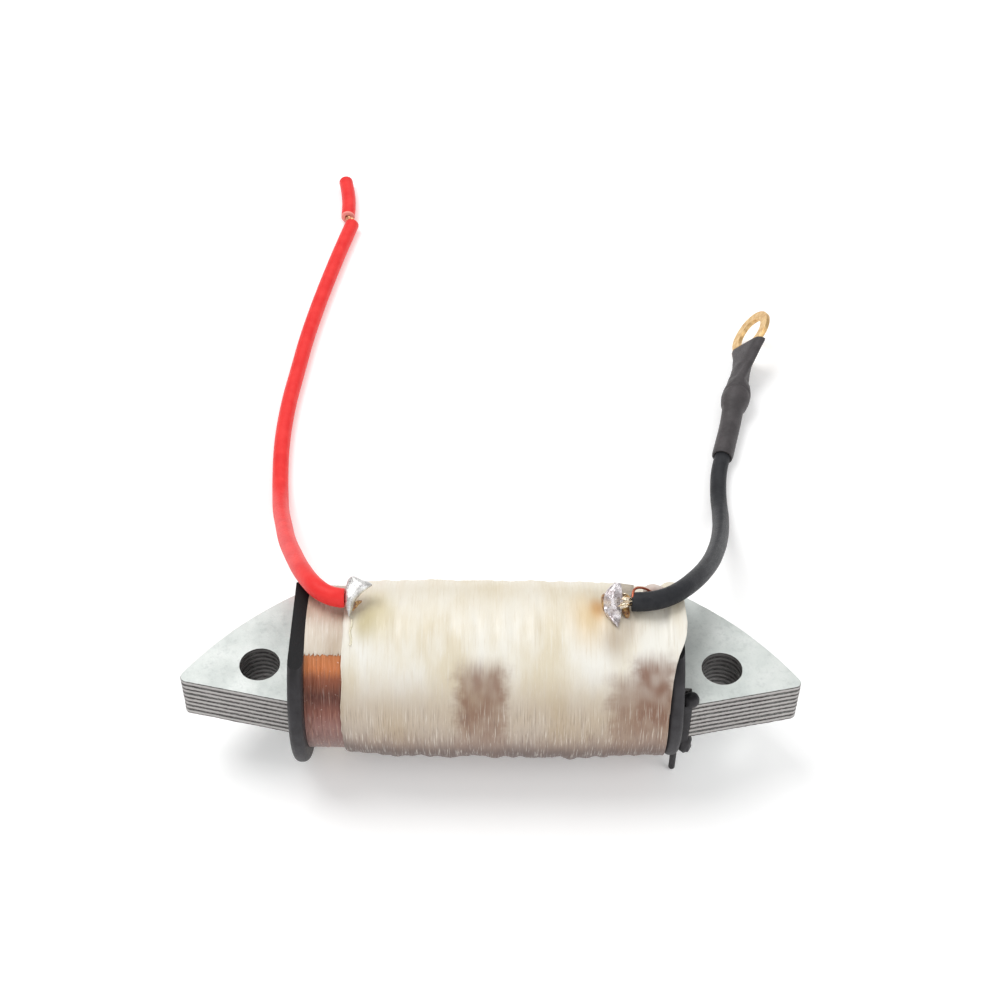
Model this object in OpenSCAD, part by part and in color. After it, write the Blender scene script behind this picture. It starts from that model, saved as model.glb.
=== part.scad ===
// Ignition source coil of a small engine's magneto stator.
// A stack of steel laminations carries a split bobbin, a copper winding under
// glass-fibre tape, two soldered terminal tabs and two loose leads.
// Frame: +X along the line of the two bolt holes, +Z along the bolts, +Y towards
// the flywheel magnets. The origin is midway between the holes, on the mounting face.

/* [Core] */
// distance between the two bolt holes
hole_pitch = 62; // [50:1:76]
// bolt hole diameter, clearance for an M5 screw
hole_d = 5.4; // [4:0.1:6.6]
// thickness of one lamination
lam_t = 0.865; // [0.5:0.005:1.2]
// distance from each hole's centre to the tip beyond it
tip_over = 11.05; // [8:0.05:14]
// distance from each hole's centre to the shoulder beside the bobbin
shoulder_in = 4.4; // [4:0.1:8]
// width of the bar that runs through the bobbin
bar_w = 12; // [8:0.5:14]
// front edge's distance from the hole line at the shoulder
front_y = 6.3; // [4:0.1:9]
// angle at which the front edge runs in towards the tip
front_slope = 12.7; // [5:0.1:20]
// height of the pole face above the hole line at the shoulder
back_y = 13; // [10:0.5:17]
// rounding of the two tips
tip_r = 1.0; // [0.5:0.1:2]

/* [Bobbin] */
// radius of the left flange
left_flange_r = 12.9; // [12:0.1:15]
// radius of the right flange
right_flange_r = 11.5; // [11:0.1:15]
// thickness of each flange
flange_t = 2.0; // [1.2:0.1:3]
// rounding of the flange rims
flange_round = 0.9; // [0.2:0.1:0.9]
// height of the flat on top of the flanges above the bobbin axis
top_flat = 9.75; // [9:0.05:12]
// depth of the standing flat below the bobbin axis
foot_flat = 12.05; // [11:0.05:14]
// wall of the rectangular bobbin tube
tube_wall = 1.3; // [0.8:0.1:2]
// clearance between the bar's edges and the tube
bar_gap = 0.15; // [0.05:0.05:0.4]
// free length between the right flange and the core's shoulder
key_gap = 1.2; // [0.8:0.1:2]

/* [Winding and tape] */
// radius of the copper winding
wind_r = 10.9; // [9.5:0.1:12]
// thickness of the inner tape
inner_tape_t = 0.15; // [0.1:0.05:0.4]
// radius of the outer tape over its middle
tape_r = 11.95; // [11.4:0.05:13]
// radius of the outer tape at its two ends
tape_end_r = 11.45; // [11.2:0.05:12.5]
// length of winding left bare beside the left flange
bare_len = 4.9; // [2:0.1:9]
// angle where the inner tape stops on the bare length, from +Y over the top
inner_tape_stop = 121; // [95:1:150]
// reach of the tape's loose edge past the right flange's inner face
flap_reach = 1.9; // [0.5:0.1:2]

/* [Terminals] */
// distance from the left flange's inner face to the red lead's end
red_inset = 5.1; // [4:0.1:9]
// distance from the right flange's inner face to the black lead's end
black_inset = 4.95; // [4:0.1:9]
// diameter of each lead's stranded conductor
strand_d = 1.2; // [0.8:0.1:1.6]
// thickness of the tinned terminal tabs
tab_t = 0.4; // [0.2:0.05:0.6]
// diameter of the enamelled start and finish wires
enamel_d = 0.4; // [0.3:0.05:0.6]

/* [Leads] */
// outer diameter of both leads
lead_d = 2.6; // [2:0.1:3.2]
// inner diameter of the ring terminal's eye
eye_d = 5.4; // [4:0.1:6.6]
// outer diameter of the ring terminal's eye
eye_od = 8.8; // [8:0.1:11]
// thickness of the ring terminal's plate
eye_t = 0.8; // [0.5:0.1:1.2]

/* [Hidden] */
$fn = 96;
lam_count = 8;
hole_x = hole_pitch / 2;
stack_h = lam_count * lam_t;
axis_y = 2.5;
axis_z = stack_h / 2;
over = 1;

// core outline
shoulder_x = hole_x - shoulder_in;
tip_x = hole_x + tip_over;
front_m = tan(front_slope);
function front_at(x) = -front_y + (x - shoulder_x) * front_m;
tip_y = front_at(tip_x);
pole_cy = (tip_x * tip_x - shoulder_x * shoulder_x + tip_y * tip_y - back_y * back_y)
          / (2 * (tip_y - back_y));
pole_r = norm([shoulder_x, back_y - pole_cy]);
// tip rounding: a circle tangent to the front edge and to the pole face
edge_u = [cos(front_slope), sin(front_slope)];
edge_n = [-sin(front_slope), cos(front_slope)];
edge_p = [shoulder_x, -front_y] + tip_r * edge_n - [0, pole_cy];
edge_b = edge_p * edge_u;
edge_c = edge_p * edge_p - pow(pole_r - tip_r, 2);
edge_s = -edge_b + sqrt(edge_b * edge_b - edge_c);
tip_c = edge_p + edge_s * edge_u + [0, pole_cy];
tip_on_edge = tip_c - tip_r * edge_n;
tip_on_pole = [0, pole_cy] + (tip_c - [0, pole_cy]) * pole_r / (pole_r - tip_r);

// bobbin stations along X
left_out = -(shoulder_x - 0.2);
left_in = left_out + flange_t;
right_out = shoulder_x - key_gap;
right_in = right_out - flange_t;
tube_w = bar_w + 2 * (bar_gap + tube_wall);
tube_h = stack_h + 2 * tube_wall;
flange_back = back_y - 0.1 - axis_y;
foot_z = axis_z - foot_flat;

// tape stations along X
tape_in_r = wind_r + inner_tape_t;
tape_left = left_in + bare_len;
tape_profile = [
  [tape_left, tape_in_r],
  [tape_left, tape_end_r],
  [tape_left + 4, tape_r - 0.1],
  [tape_left + 8, tape_r],
  [right_in - 11, tape_r],
  [right_in - 4.5, tape_end_r + 0.1],
  [right_in, tape_end_r],
  [right_in, tape_in_r]
];

// terminal stations
red_end = [left_in + red_inset, 3.5, 16.6];
black_end = [right_in - black_inset, 3.3, 16.6];
strand_r = strand_d / 2;
strand_len = 2.4;

// route of the red lead, from its terminal to its cut end
lead_r = lead_d / 2;
floor_z = -8.6;
lie_z = floor_z + lead_r;
red_route = [
  [-19.3, 3.5, 16.6],
  [-19.9, 3.5, 16.6],
  [-21.1, 3.75, 16.7],
  [-22.4, 4.5, 16.7],
  [-23.9, 6.4, 16.2],
  [-25.8, 10.8, 13.9],
  [-27.8, 17.4, 9.6],
  [-29.8, 24.9, 4.6],
  [-31.4, 32.5, -0.3],
  [-32.8, 39.4, -4.3],
  [-33.6, 44.8, -6.6],
  [-34.1, 49.3, lie_z],
  [-34.5, 55, lie_z],
  [-34.6, 61, lie_z],
  [-34.3, 68, lie_z],
  [-33.6, 75.5, lie_z],
  [-32.8, 83.5, lie_z],
  [-31.7, 91.5, lie_z],
  [-30.3, 100, lie_z],
  [-28.7, 108.7, lie_z],
  [-27.1, 116.6, lie_z]
];
// bare strands past the red lead's cut end, and the slug of insulation left on them
red_path = lead_path(red_route);
red_cut = red_path[len(red_path) - 1];
red_cut_v = unit(red_cut - red_path[len(red_path) - 2]);
slug_from = [-28.0, 118.6, lie_z];
slug_to = [-29.2, 130.1, lie_z];
red_tip_route = [
  red_cut,
  red_cut + 0.4 * red_cut_v,
  [-27.35, 117.8, lie_z],
  slug_from,
  slug_from + (slug_to - slug_from) * 0.25,
  slug_from + (slug_to - slug_from) * 0.5,
  slug_from + (slug_to - slug_from) * 0.85
];

// route of the black lead, from its terminal to the crimp barrel
black_route = [
  [18.45, 3.3, 16.6],
  [19.05, 3.3, 16.6],
  [20.4, 3.2, 16.8],
  [22.1, 3.5, 16.9],
  [24.1, 4.7, 16.6],
  [26.2, 7.3, 15.4],
  [28.5, 11.7, 12.8],
  [30.6, 17.4, 9.0],
  [32.3, 23.6, 4.8],
  [33.7, 29.9, 0.6],
  [34.7, 35.8, -3.0],
  [35.3, 40.9, -5.7],
  [35.5, 44.8, -6.9],
  [35.7, 48, -7.2],
  [36.1, 51.5, -7.2],
  [36.9, 55.0, -7.1],
  [37.9, 58.8, -6.9],
  [38.9, 62.8, -6.7],
  [39.7, 66.2, -6.4]
];
black_path = lead_path(black_route);

// ring terminal: place and attitude of its eye
eye_c = [43.85, 82.7, -4.3];
eye_heading = 14.4;
eye_pitch = 6.6;
eye_twist = 53.5;
barrel_r = 1.85;
barrel_len = 5.5;
barrel_y = -16.0;
wide_v = rot_z(rot_x([cos(eye_twist), 0, sin(eye_twist)], eye_pitch), -eye_heading);
along_v = rot_z(rot_x([0, 1, 0], eye_pitch), -eye_heading);
face_v = rot_z(rot_x([-sin(eye_twist), 0, cos(eye_twist)], eye_pitch), -eye_heading);
function rot_x(v, a) = [v[0], v[1] * cos(a) - v[2] * sin(a), v[1] * sin(a) + v[2] * cos(a)];
function rot_z(v, a) = [v[0] * cos(a) - v[1] * sin(a), v[0] * sin(a) + v[1] * cos(a), v[2]];
function on_eye(x, y, z) = eye_c + x * wide_v + y * along_v + z * face_v;

// ---- curve helpers ----
function unit(v) = v / norm(v);
function spline_at(a, b, c, d, t) =
  0.5 * (2 * b + (c - a) * t + (2 * a - 5 * b + 4 * c - d) * t * t
         + (3 * b - a - 3 * c + d) * t * t * t);
// a smooth run of points through a route, with n steps between its points
function smooth(p, n) = [
  for (i = [0:len(p) - 2])
    for (j = [0:n - 1])
      spline_at(p[max(i - 1, 0)], p[i], p[i + 1], p[min(i + 2, len(p) - 1)], j / n),
  p[len(p) - 1]
];
// a lead's path: a straight start out of its terminal, then a smooth run
function lead_path(route) =
  concat([route[0]], smooth([for (i = [1:len(route) - 1]) route[i]], 3));
function tangent(p, i) = unit(p[min(i + 1, len(p) - 1)] - p[max(i - 1, 0)]);
function across(t) = unit(cross(t, [0, 0, 1]));
function ring_at(c, t, r, n) = [
  for (k = [0:n - 1])
    c + r * (cos((k + 0.5) * 360 / n) * across(t) + sin((k + 0.5) * 360 / n) * cross(across(t), t))
];
function side_faces(m, n, base) = [
  for (i = [0:m - 2])
    for (k = [0:n - 1])
      [base + i * n + k, base + i * n + (k + 1) % n,
       base + (i + 1) * n + (k + 1) % n, base + (i + 1) * n + k]
];

// a solid round tube with flat ends along a run of points
module cord_tube(p, r, n) {
  m = len(p);
  pts = [for (i = [0:m - 1]) for (v = ring_at(p[i], tangent(p, i), r, n)) v];
  faces = concat(
    side_faces(m, n, 0),
    [[for (k = [n - 1:-1:0]) k]],
    [[for (k = [0:n - 1]) (m - 1) * n + k]]);
  polyhedron(points = pts, faces = faces, convexity = 6);
}

// ---- core ----
module half_lamination_2d() {
  intersection() {
    translate([0, pole_cy]) circle(r = pole_r, $fn = 360);
    polygon([
      [shoulder_x, -front_y],
      tip_on_edge,
      tip_on_pole,
      tip_on_pole + [0, 20],
      [shoulder_x, back_y + 20]
    ]);
  }
  translate(tip_c) circle(r = tip_r);
}

module lamination_2d() {
  difference() {
    union() {
      half_lamination_2d();
      mirror([1, 0]) half_lamination_2d();
      translate([-shoulder_x - over, axis_y - bar_w / 2])
        square([2 * shoulder_x + 2 * over, bar_w]);
    }
    for (s = [-1, 1]) translate([s * hole_x, 0]) circle(d = hole_d);
  }
}

module lamination(i) {
  color([0.80, 0.82, 0.81])
    translate([0, 0, (i - 1) * lam_t])
      linear_extrude(height = lam_t) lamination_2d();
}

// ---- bobbin ----
module along_x(x) {
  translate([x, axis_y, axis_z]) rotate([90, 0, 90]) children();
}

// a disc with a rounded rim, with its axis along X
module flange(x, r) {
  along_x(x) rotate_extrude() {
    square([r - flange_round, flange_t]);
    translate([0, flange_round]) square([r, flange_t - 2 * flange_round]);
    translate([r - flange_round, flange_round]) circle(r = flange_round);
    translate([r - flange_round, flange_t - flange_round]) circle(r = flange_round);
  }
}

module bobbin_body() {
  difference() {
    union() {
      flange(left_out, left_flange_r);
      flange(right_out - flange_t, right_flange_r);
      translate([left_out + 0.5, axis_y - tube_w / 2, axis_z - tube_h / 2])
        cube([right_out - left_out - 1, tube_w, tube_h]);
    }
    // window for the core's bar
    translate([left_out - over, axis_y - bar_w / 2 - bar_gap, 0])
      cube([right_out - left_out + 2 * over, bar_w + 2 * bar_gap, stack_h]);
    // top flat
    translate([left_out - over, axis_y - 20, axis_z + top_flat])
      cube([right_out - left_out + 2 * over, 40, 20]);
    // standing flat
    translate([left_out - over, axis_y - 20, foot_z - 20])
      cube([right_out - left_out + 2 * over, 40, 20]);
    // flat that keeps the back of the flanges inside the pole faces
    translate([left_out - over, axis_y + flange_back, axis_z - 20])
      cube([right_out - left_out + 2 * over, 20, 40]);
    // chamfer between the top flat and the back flat
    translate([left_out - over, axis_y + flange_back - 3.8, axis_z + top_flat])
      rotate([-45, 0, 0]) cube([right_out - left_out + 2 * over, 20, 20]);
  }
}

module bobbin_half(up) {
  color([0.12, 0.12, 0.13])
    intersection() {
      bobbin_body();
      translate([left_out - over, axis_y - 25, up ? axis_z : axis_z - 40])
        cube([right_out - left_out + 2 * over, 50, 40]);
    }
}

// winding post on the lower half's right flange
post_r = 0.45;
post_x = right_out - 0.35;
post_y = axis_y - 7.7;
post_tip = foot_z + 0.1;

module bobbin_upper_half() {
  bobbin_half(true);
}

module bobbin_lower_half() {
  bobbin_half(false);
  color([0.12, 0.12, 0.13])
    difference() {
      union() {
        translate([post_x, post_y, post_tip + post_r])
          cylinder(r = post_r, h = axis_z - post_tip - 5.3);
        translate([post_x, post_y, post_tip + post_r]) sphere(r = post_r, $fn = 48);
      }
      translate([left_out, axis_y - bar_w / 2 - bar_gap, 0])
        cube([right_out - left_out + 2, bar_w, stack_h]);
    }
}

// a headed key pushed down between the right flange and the core's shoulder
key_x0 = right_out + 0.02;
key_w = key_gap - 0.04;
key_y = -front_y + 0.55;
key_head_r = 1.05;

module bobbin_key() {
  color([0.10, 0.10, 0.11]) {
    translate([key_x0, key_y - 0.8, -1.2]) cube([key_w, 1.4, stack_h + 1.6]);
    translate([key_x0 + key_head_r, key_y, stack_h]) {
      cylinder(r = key_head_r, h = 0.9);
      intersection() {
        translate([0, 0, 0.9]) scale([1, 1, 0.7]) sphere(r = key_head_r, $fn = 48);
        translate([-2, -2, 0.4]) cube([4, 4, 3]);
      }
    }
    translate([key_x0 + 0.9, key_y - 0.1, -2.5]) {
      cylinder(r = 0.9, h = 2.4);
      translate([0, 0, 0]) sphere(r = 0.9, $fn = 48);
    }
  }
}

// ---- winding and tape ----
module copper_winding() {
  color([0.72, 0.36, 0.20])
    difference() {
      along_x(left_in) cylinder(r = wind_r, h = right_in - left_in);
      translate([left_in - over, axis_y - tube_w / 2, axis_z - tube_h / 2])
        cube([right_in - left_in + 2 * over, tube_w, tube_h]);
    }
}

module inner_tape_wrap() {
  color([0.86, 0.80, 0.66]) {
    difference() {
      along_x(left_in) rotate_extrude()
        translate([wind_r, 0]) square([inner_tape_t, right_in - left_in]);
      // window that leaves the front of the winding bare beside the left flange
      along_x(left_in - over) rotate([0, 0, inner_tape_stop])
        rotate_extrude(angle = 110)
          translate([wind_r - over, 0]) square([inner_tape_t + 2 * over, bare_len + over]);
    }
  }
}

module tape_body() {
  translate([0, axis_y, axis_z]) rotate([0, 90, 0]) rotate_extrude()
    polygon([for (p = tape_profile) [p[1], p[0]]]);
}

// loose edge of the tape, lying over the top of the right flange
module tape_flap() {
  intersection() {
    along_x(right_in - over) rotate([0, 0, 60]) rotate_extrude(angle = 60)
      translate([tape_in_r + 0.05, 0])
        square([tape_end_r - tape_in_r - 0.1, flap_reach + over + 1]);
    translate([right_in, axis_y, axis_z]) linear_extrude(height = 20)
      polygon([
        [-over / 2, -4.7],
        [0.9, -4.2],
        [flap_reach - 0.1, -2.4],
        [flap_reach, -0.6],
        [flap_reach - 0.5, 2.2],
        [0.9, 4.2],
        [-over / 2, 4.7]
      ]);
  }
}

module outer_tape_wrap() {
  color([0.90, 0.86, 0.76]) {
    tape_body();
    tape_flap();
  }
}

// everything inside the tape's outer surface, to seat the terminals on it
module tape_filled() {
  translate([0, axis_y, axis_z]) rotate([0, 90, 0]) rotate_extrude()
    polygon(concat([[0, tape_left]], [for (p = tape_profile) [p[1], p[0]]], [[0, right_in]]));
}

// ---- terminals ----
// a folded tab: a wedge in side view with the given plan, hollow for its solder
module wedge(plan, side, drop, x0, x1) {
  intersection() {
    linear_extrude(height = 30) polygon(plan);
    translate([x0, 0, -drop]) rotate([90, 0, 90])
      linear_extrude(height = x1 - x0) polygon(side);
  }
}

red_x = red_end[0];
red_plan = [
  for (p = [[0, 0.3], [0, 4.0], [3.5, 3.6], [3.3, 2.2], [1.4, -2.0], [0.8, -2.1]])
    [red_x + p[0], red_end[1] + p[1]]
];
red_core_plan = [
  for (p = [[0.3, 0.2], [0.3, 3.5], [3.0, 3.2], [2.9, 2.2], [1.3, -1.3], [0.9, -1.3]])
    [red_x + p[0], red_end[1] + p[1]]
];
tab_side = [
  for (p = [[-2.2, -4], [4.2, -4], [4.2, 0.5], [3.0, 1.5], [0, 1.15], [-2.2, -0.9]])
    [red_end[1] + p[0], red_end[2] + p[1]]
];

module strand_stub(e, side, grow) {
  translate(e) rotate([0, side * 90, 0])
    translate([0, 0, -grow]) cylinder(r = strand_r + grow, h = strand_len + 2 * grow, $fn = 32);
}

module red_terminal_tab() {
  color([0.80, 0.80, 0.80])
    difference() {
      wedge(red_plan, tab_side, 0, red_x - 1, red_x + 4);
      wedge(red_core_plan, tab_side, tab_t, red_x - 1, red_x + 4);
      tape_filled();
      strand_stub(red_end, 1, 0);
    }
}

module red_solder_joint() {
  color([0.72, 0.72, 0.73])
    difference() {
      wedge(red_core_plan, tab_side, tab_t, red_x - 1, red_x + 4);
      tape_filled();
      strand_stub(red_end, 1, 0);
    }
}

black_x = black_end[0];
black_plan = [
  for (p = [[-3.7, 1.0], [-3.1, 3.6], [-2.0, 4.0], [-0.3, 3.4], [-0.3, -0.8],
            [-1.3, -3.0], [-2.0, -3.6], [-3.1, -1.6]])
    [black_x + p[0], black_end[1] + p[1]]
];
black_core_plan = [
  for (p = [[-3.2, 1.0], [-2.8, 3.2], [-2.0, 3.5], [-0.6, 3.0], [-0.6, -0.7],
            [-1.5, -2.2], [-2.0, -2.5], [-2.7, -1.4]])
    [black_x + p[0], black_end[1] + p[1]]
];
black_side = [
  for (p = [[-3.7, -4], [4.1, -4], [4.1, 0.3], [2.6, 1.3], [0, 1.15], [-1.6, 0.4], [-3.7, -1.2]])
    [black_end[1] + p[0], black_end[2] + p[1]]
];
leaf_x = black_x - 0.32;
leaf_y = black_end[1] + 1.7;
leaf_z = black_end[2] - 0.2;

module black_terminal_tab() {
  color([0.80, 0.80, 0.80])
    difference() {
      union() {
        wedge(black_plan, black_side, 0, black_x - 4, black_x);
        // leaf folded out beside the strands
        translate([leaf_x, leaf_y, leaf_z]) cube([1.0, 2.0, tab_t]);
      }
      wedge(black_core_plan, black_side, tab_t, black_x - 4, black_x);
      tape_filled();
      strand_stub(black_end, -1, 0);
    }
}

module black_solder_joint() {
  color([0.72, 0.72, 0.73])
    difference() {
      wedge(black_core_plan, black_side, tab_t, black_x - 4, black_x);
      tape_filled();
      strand_stub(black_end, -1, 0);
    }
}

module red_joint_strands() {
  color([0.80, 0.50, 0.30]) strand_stub(red_end, 1, 0);
}

module black_joint_strands() {
  color([0.80, 0.50, 0.30]) strand_stub(black_end, -1, 0);
}

// end of the winding, laid on the tape below the red tab's point
start_x = red_x + 1.0;
start_r = tape_end_r + (tape_r - 0.1 - tape_end_r) * (start_x - tape_left) / 4;

module start_wire() {
  color([0.85, 0.78, 0.55])
    difference() {
      along_x(start_x) rotate([0, 0, 92]) rotate_extrude(angle = 20)
        translate([start_r + enamel_d / 2 - 0.03, 0]) circle(d = enamel_d, $fn = 24);
      wedge(red_plan, tab_side, 0, red_x - 1, red_x + 4);
      tape_filled();
    }
}

// end of the winding, curled from the black tab's leaf down to the tape
finish_y = leaf_y + 1.0;
finish_r = 0.9;
finish_x = leaf_x + 1.0 + finish_r + enamel_d / 2;

module finish_wire() {
  color([0.55, 0.20, 0.12])
    difference() {
      translate([finish_x, finish_y, leaf_z + tab_t / 2]) {
        rotate([90, 0, 0]) rotate_extrude(angle = 180)
          translate([finish_r, 0]) circle(d = enamel_d, $fn = 24);
        translate([finish_r, 0, -2.5]) cylinder(d = enamel_d, h = 2.5, $fn = 24);
      }
      tape_filled();
    }
}

// scrap of fibre tape under the black lead
module fibre_pad() {
  color([0.88, 0.85, 0.78])
    difference() {
      along_x(finish_x + finish_r + enamel_d) rotate([0, 0, 58]) rotate_extrude(angle = 17)
        translate([wind_r, 0])
          square([tape_end_r + 0.9 - wind_r, right_in - finish_x - finish_r - enamel_d]);
      tape_filled();
    }
}

// ---- leads ----
module red_lead() {
  color([0.90, 0.12, 0.12]) cord_tube(red_path, lead_r, 8);
}

module red_tip_strands() {
  color([0.80, 0.50, 0.30]) cord_tube(red_tip_route, strand_r, 8);
}

module red_insulation_slug() {
  slug_v = slug_to - slug_from;
  color([0.90, 0.15, 0.15])
    translate(slug_from) rotate([0, 90, atan2(slug_v[1], slug_v[0])])
      difference() {
        cylinder(r = lead_r, h = norm(slug_v), $fn = 48);
        translate([0, 0, -over])
          cylinder(r = strand_r, h = norm(slug_v) + 2 * over, $fn = 48);
      }
}

module black_lead() {
  color([0.13, 0.13, 0.14]) cord_tube(black_path, lead_r, 8);
}

module in_eye_frame() {
  translate(eye_c) rotate([0, 0, -eye_heading]) rotate([eye_pitch, 0, 0])
    rotate([0, -eye_twist, 0]) children();
}

module crimp_strands() {
  color([0.80, 0.50, 0.30]) in_eye_frame()
    translate([0, barrel_y + 0.3, 0]) rotate([-90, 0, 0])
      cylinder(r = strand_r, h = barrel_len - 0.3, $fn = 32);
}

// the neck joins the eye's rim at this distance from its centre
neck_y = 2.5;
neck_half = sqrt(pow(eye_od / 2, 2) - pow(neck_y, 2)) - 0.02;

module ring_terminal() {
  color([0.85, 0.68, 0.35]) in_eye_frame() {
    difference() {
      union() {
        translate([0, 0, -eye_t / 2]) cylinder(d = eye_od, h = eye_t);
        translate([0, 0, -eye_t / 2]) linear_extrude(height = eye_t)
          polygon([[-neck_half, -neck_y], [-1.7, barrel_y + barrel_len - 0.4],
                   [1.7, barrel_y + barrel_len - 0.4], [neck_half, -neck_y]]);
        translate([0, barrel_y, 0]) rotate([-90, 0, 0])
          cylinder(r = barrel_r, h = barrel_len);
      }
      translate([0, 0, -eye_t]) cylinder(d = eye_d, h = 2 * eye_t);
      translate([0, barrel_y - over, 0]) rotate([-90, 0, 0])
        cylinder(r = strand_r, h = barrel_len + over, $fn = 32);
    }
  }
}

// sleeve sections: centre, half width, half thickness, skew along the lead, squareness
sleeve_wall = 0.35;
barrel_end = barrel_y + barrel_len;
sleeve_sections = [
  [black_route[15], 1.38, 1.38, 0, 1],
  [black_route[16], 1.38, 1.38, 0, 1],
  [black_route[17], 1.38, 1.38, 0, 1],
  [on_eye(0, barrel_y - 0.9, 0), 1.5, 1.5, 0, 1],
  [on_eye(0, barrel_y - 0.1, 0), 1.93, 1.93, 0, 1],
  [on_eye(0, barrel_end + 0.1, 0), 1.93, 1.93, 0, 1],
  [on_eye(0, barrel_end + 1.6, 0), 2.3, 1.5, -0.1, 0.9],
  [on_eye(0, barrel_end + 3.4, 0), 2.9, 1.1, -0.4, 0.8],
  [on_eye(0, barrel_end + 5.4, 0), 3.8, 0.75, -0.8, 0.65],
  [on_eye(0, -3.15, 0), 4.55, 0.5, -1.2, 0.45]
];
function bent(v, e) = sign(v) * pow(abs(v), e);

// a point of the sleeve, pressed flat where it lies on the standing surface
function pressed(v, low) = [v[0], v[1], max(v[2], low)];

function sleeve_ring(s, grow, n) = [
  for (k = [0:n - 1])
    pressed(
      s[0] + bent(cos(k * 360 / n), s[4]) * ((s[1] + grow) * wide_v + s[3] * along_v)
           + bent(sin(k * 360 / n), s[4]) * (s[2] + grow) * face_v,
      floor_z + (sleeve_wall - grow) / 2)
];

module heat_shrink_sleeve() {
  n = 16;
  m = len(sleeve_sections);
  outer_pts = [for (s = sleeve_sections) for (v = sleeve_ring(s, sleeve_wall, n)) v];
  inner_pts = [for (s = sleeve_sections) for (v = sleeve_ring(s, 0, n)) v];
  base = m * n;
  faces = concat(
    [for (i = [0:m - 2]) for (k = [0:n - 1])
      [i * n + k, (i + 1) * n + k, (i + 1) * n + (k + 1) % n, i * n + (k + 1) % n]],
    [for (i = [0:m - 2]) for (k = [0:n - 1])
      [base + i * n + k, base + i * n + (k + 1) % n,
       base + (i + 1) * n + (k + 1) % n, base + (i + 1) * n + k]],
    [for (k = [0:n - 1]) [k, (k + 1) % n, base + (k + 1) % n, base + k]],
    [for (k = [0:n - 1])
      [(m - 1) * n + k, base + (m - 1) * n + k,
       base + (m - 1) * n + (k + 1) % n, (m - 1) * n + (k + 1) % n]]);
  color([0.16, 0.16, 0.17]) polyhedron(points = concat(outer_pts, inner_pts), faces = faces, convexity = 6);
}

for (i = [1:lam_count]) lamination(i);
bobbin_upper_half();
bobbin_lower_half();
bobbin_key();
copper_winding();
inner_tape_wrap();
outer_tape_wrap();
red_terminal_tab();
red_solder_joint();
start_wire();
black_terminal_tab();
black_solder_joint();
finish_wire();
fibre_pad();
red_lead();
red_joint_strands();
red_tip_strands();
red_insulation_slug();
black_lead();
black_joint_strands();
crimp_strands();
ring_terminal();
heat_shrink_sleeve();
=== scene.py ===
import random
from math import acos, atan2, copysign, cos, exp, hypot, pi, radians, sin, sqrt, tan

import bmesh
import bpy
import numpy as np
from mathutils import Matrix, Vector, noise
from mathutils.geometry import tessellate_polygon


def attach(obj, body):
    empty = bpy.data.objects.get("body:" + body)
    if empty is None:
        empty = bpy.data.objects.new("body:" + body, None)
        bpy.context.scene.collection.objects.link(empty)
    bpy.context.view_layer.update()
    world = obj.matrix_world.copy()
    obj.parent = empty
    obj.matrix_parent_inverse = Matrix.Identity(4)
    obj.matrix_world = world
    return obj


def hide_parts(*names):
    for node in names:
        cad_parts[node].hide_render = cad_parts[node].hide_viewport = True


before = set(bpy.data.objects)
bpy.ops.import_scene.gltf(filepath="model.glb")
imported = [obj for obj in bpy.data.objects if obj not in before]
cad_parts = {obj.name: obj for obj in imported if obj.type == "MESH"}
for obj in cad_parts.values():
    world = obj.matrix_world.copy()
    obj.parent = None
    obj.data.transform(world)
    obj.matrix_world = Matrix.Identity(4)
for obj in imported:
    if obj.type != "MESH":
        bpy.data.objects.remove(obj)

# Looks of a magneto ignition source coil, built round its CAD frame.
# Lengths are in millimetres, and add_piece() turns them into metres. The camera, the lights and the
# floor's size are in metres.
MM = 0.001
norm = np.linalg.norm
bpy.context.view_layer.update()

# ---- sizes that the coil is built from, as in its CAD ----
hole_x = 31.0
hole_r = 2.7
lam_count = 8
lam_t = 0.865
stack_h = lam_count * lam_t
tip_over = 11.05
shoulder_in = 4.4
bar_w = 12.0
front_y = 6.3
front_slope = radians(12.7)
back_y = 13.0
tip_r = 1.0
axis_y = 2.5
axis_z = stack_h / 2
shoulder_x = hole_x - shoulder_in
tip_x = hole_x + tip_over
left_in = -24.4
right_in = 23.4
right_out = 25.4
wind_r = 10.9
tube_corner_r = 8.9
tape_in_r = 11.05
tape_left = -19.5
# the outer tape's radius along x
tape_profile = [(-19.5, 11.45), (-15.5, 11.85), (-11.5, 11.95), (12.4, 11.95), (18.9, 11.55), (23.4, 11.45)]
floor_z = -8.6
lead_r = 1.3
# the height of a lead's middle where it lies on the floor
lie_z = floor_z + lead_r
# where each lead's insulation ends at its terminal
red_end = (-19.3, 3.5, 16.6)
black_end = (18.45, 3.3, 16.6)

# ---- fineness of the meshes ----
LEAD_SIDES = 28
SLEEVE_SIDES = 56
SLEEVE_STEPS = 7
HOLE_POINTS = 96
# a lead's skin stands this far inside the CAD's, and a sheet this far inside its share of the stack
SKIN_GAP = 0.012
SHEET_GAP = 0.008


def put_in_scene(name, data):
    obj = bpy.data.objects.new(name, data)
    bpy.context.scene.collection.objects.link(obj)
    return obj


# ---- camera ----
def make_camera():
    """A camera at the photograph's viewing angle, from its place and two of its directions."""
    place = (0.00105, -0.14703, 0.18969)
    right = Vector((0.99995, 0.00699, 0.00656))
    up = Vector((-0.00959, 0.71593, 0.69811))
    data = bpy.data.cameras.new("camera")
    data.sensor_width = 36.0
    data.lens = 62.69
    obj = put_in_scene("camera", data)
    back = right.cross(up).normalized()
    up = back.cross(right).normalized()
    turn = Matrix((right.normalized(), up, back)).transposed().to_4x4()
    obj.matrix_world = Matrix.Translation(place) @ turn
    bpy.context.scene.camera = obj


make_camera()


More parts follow.
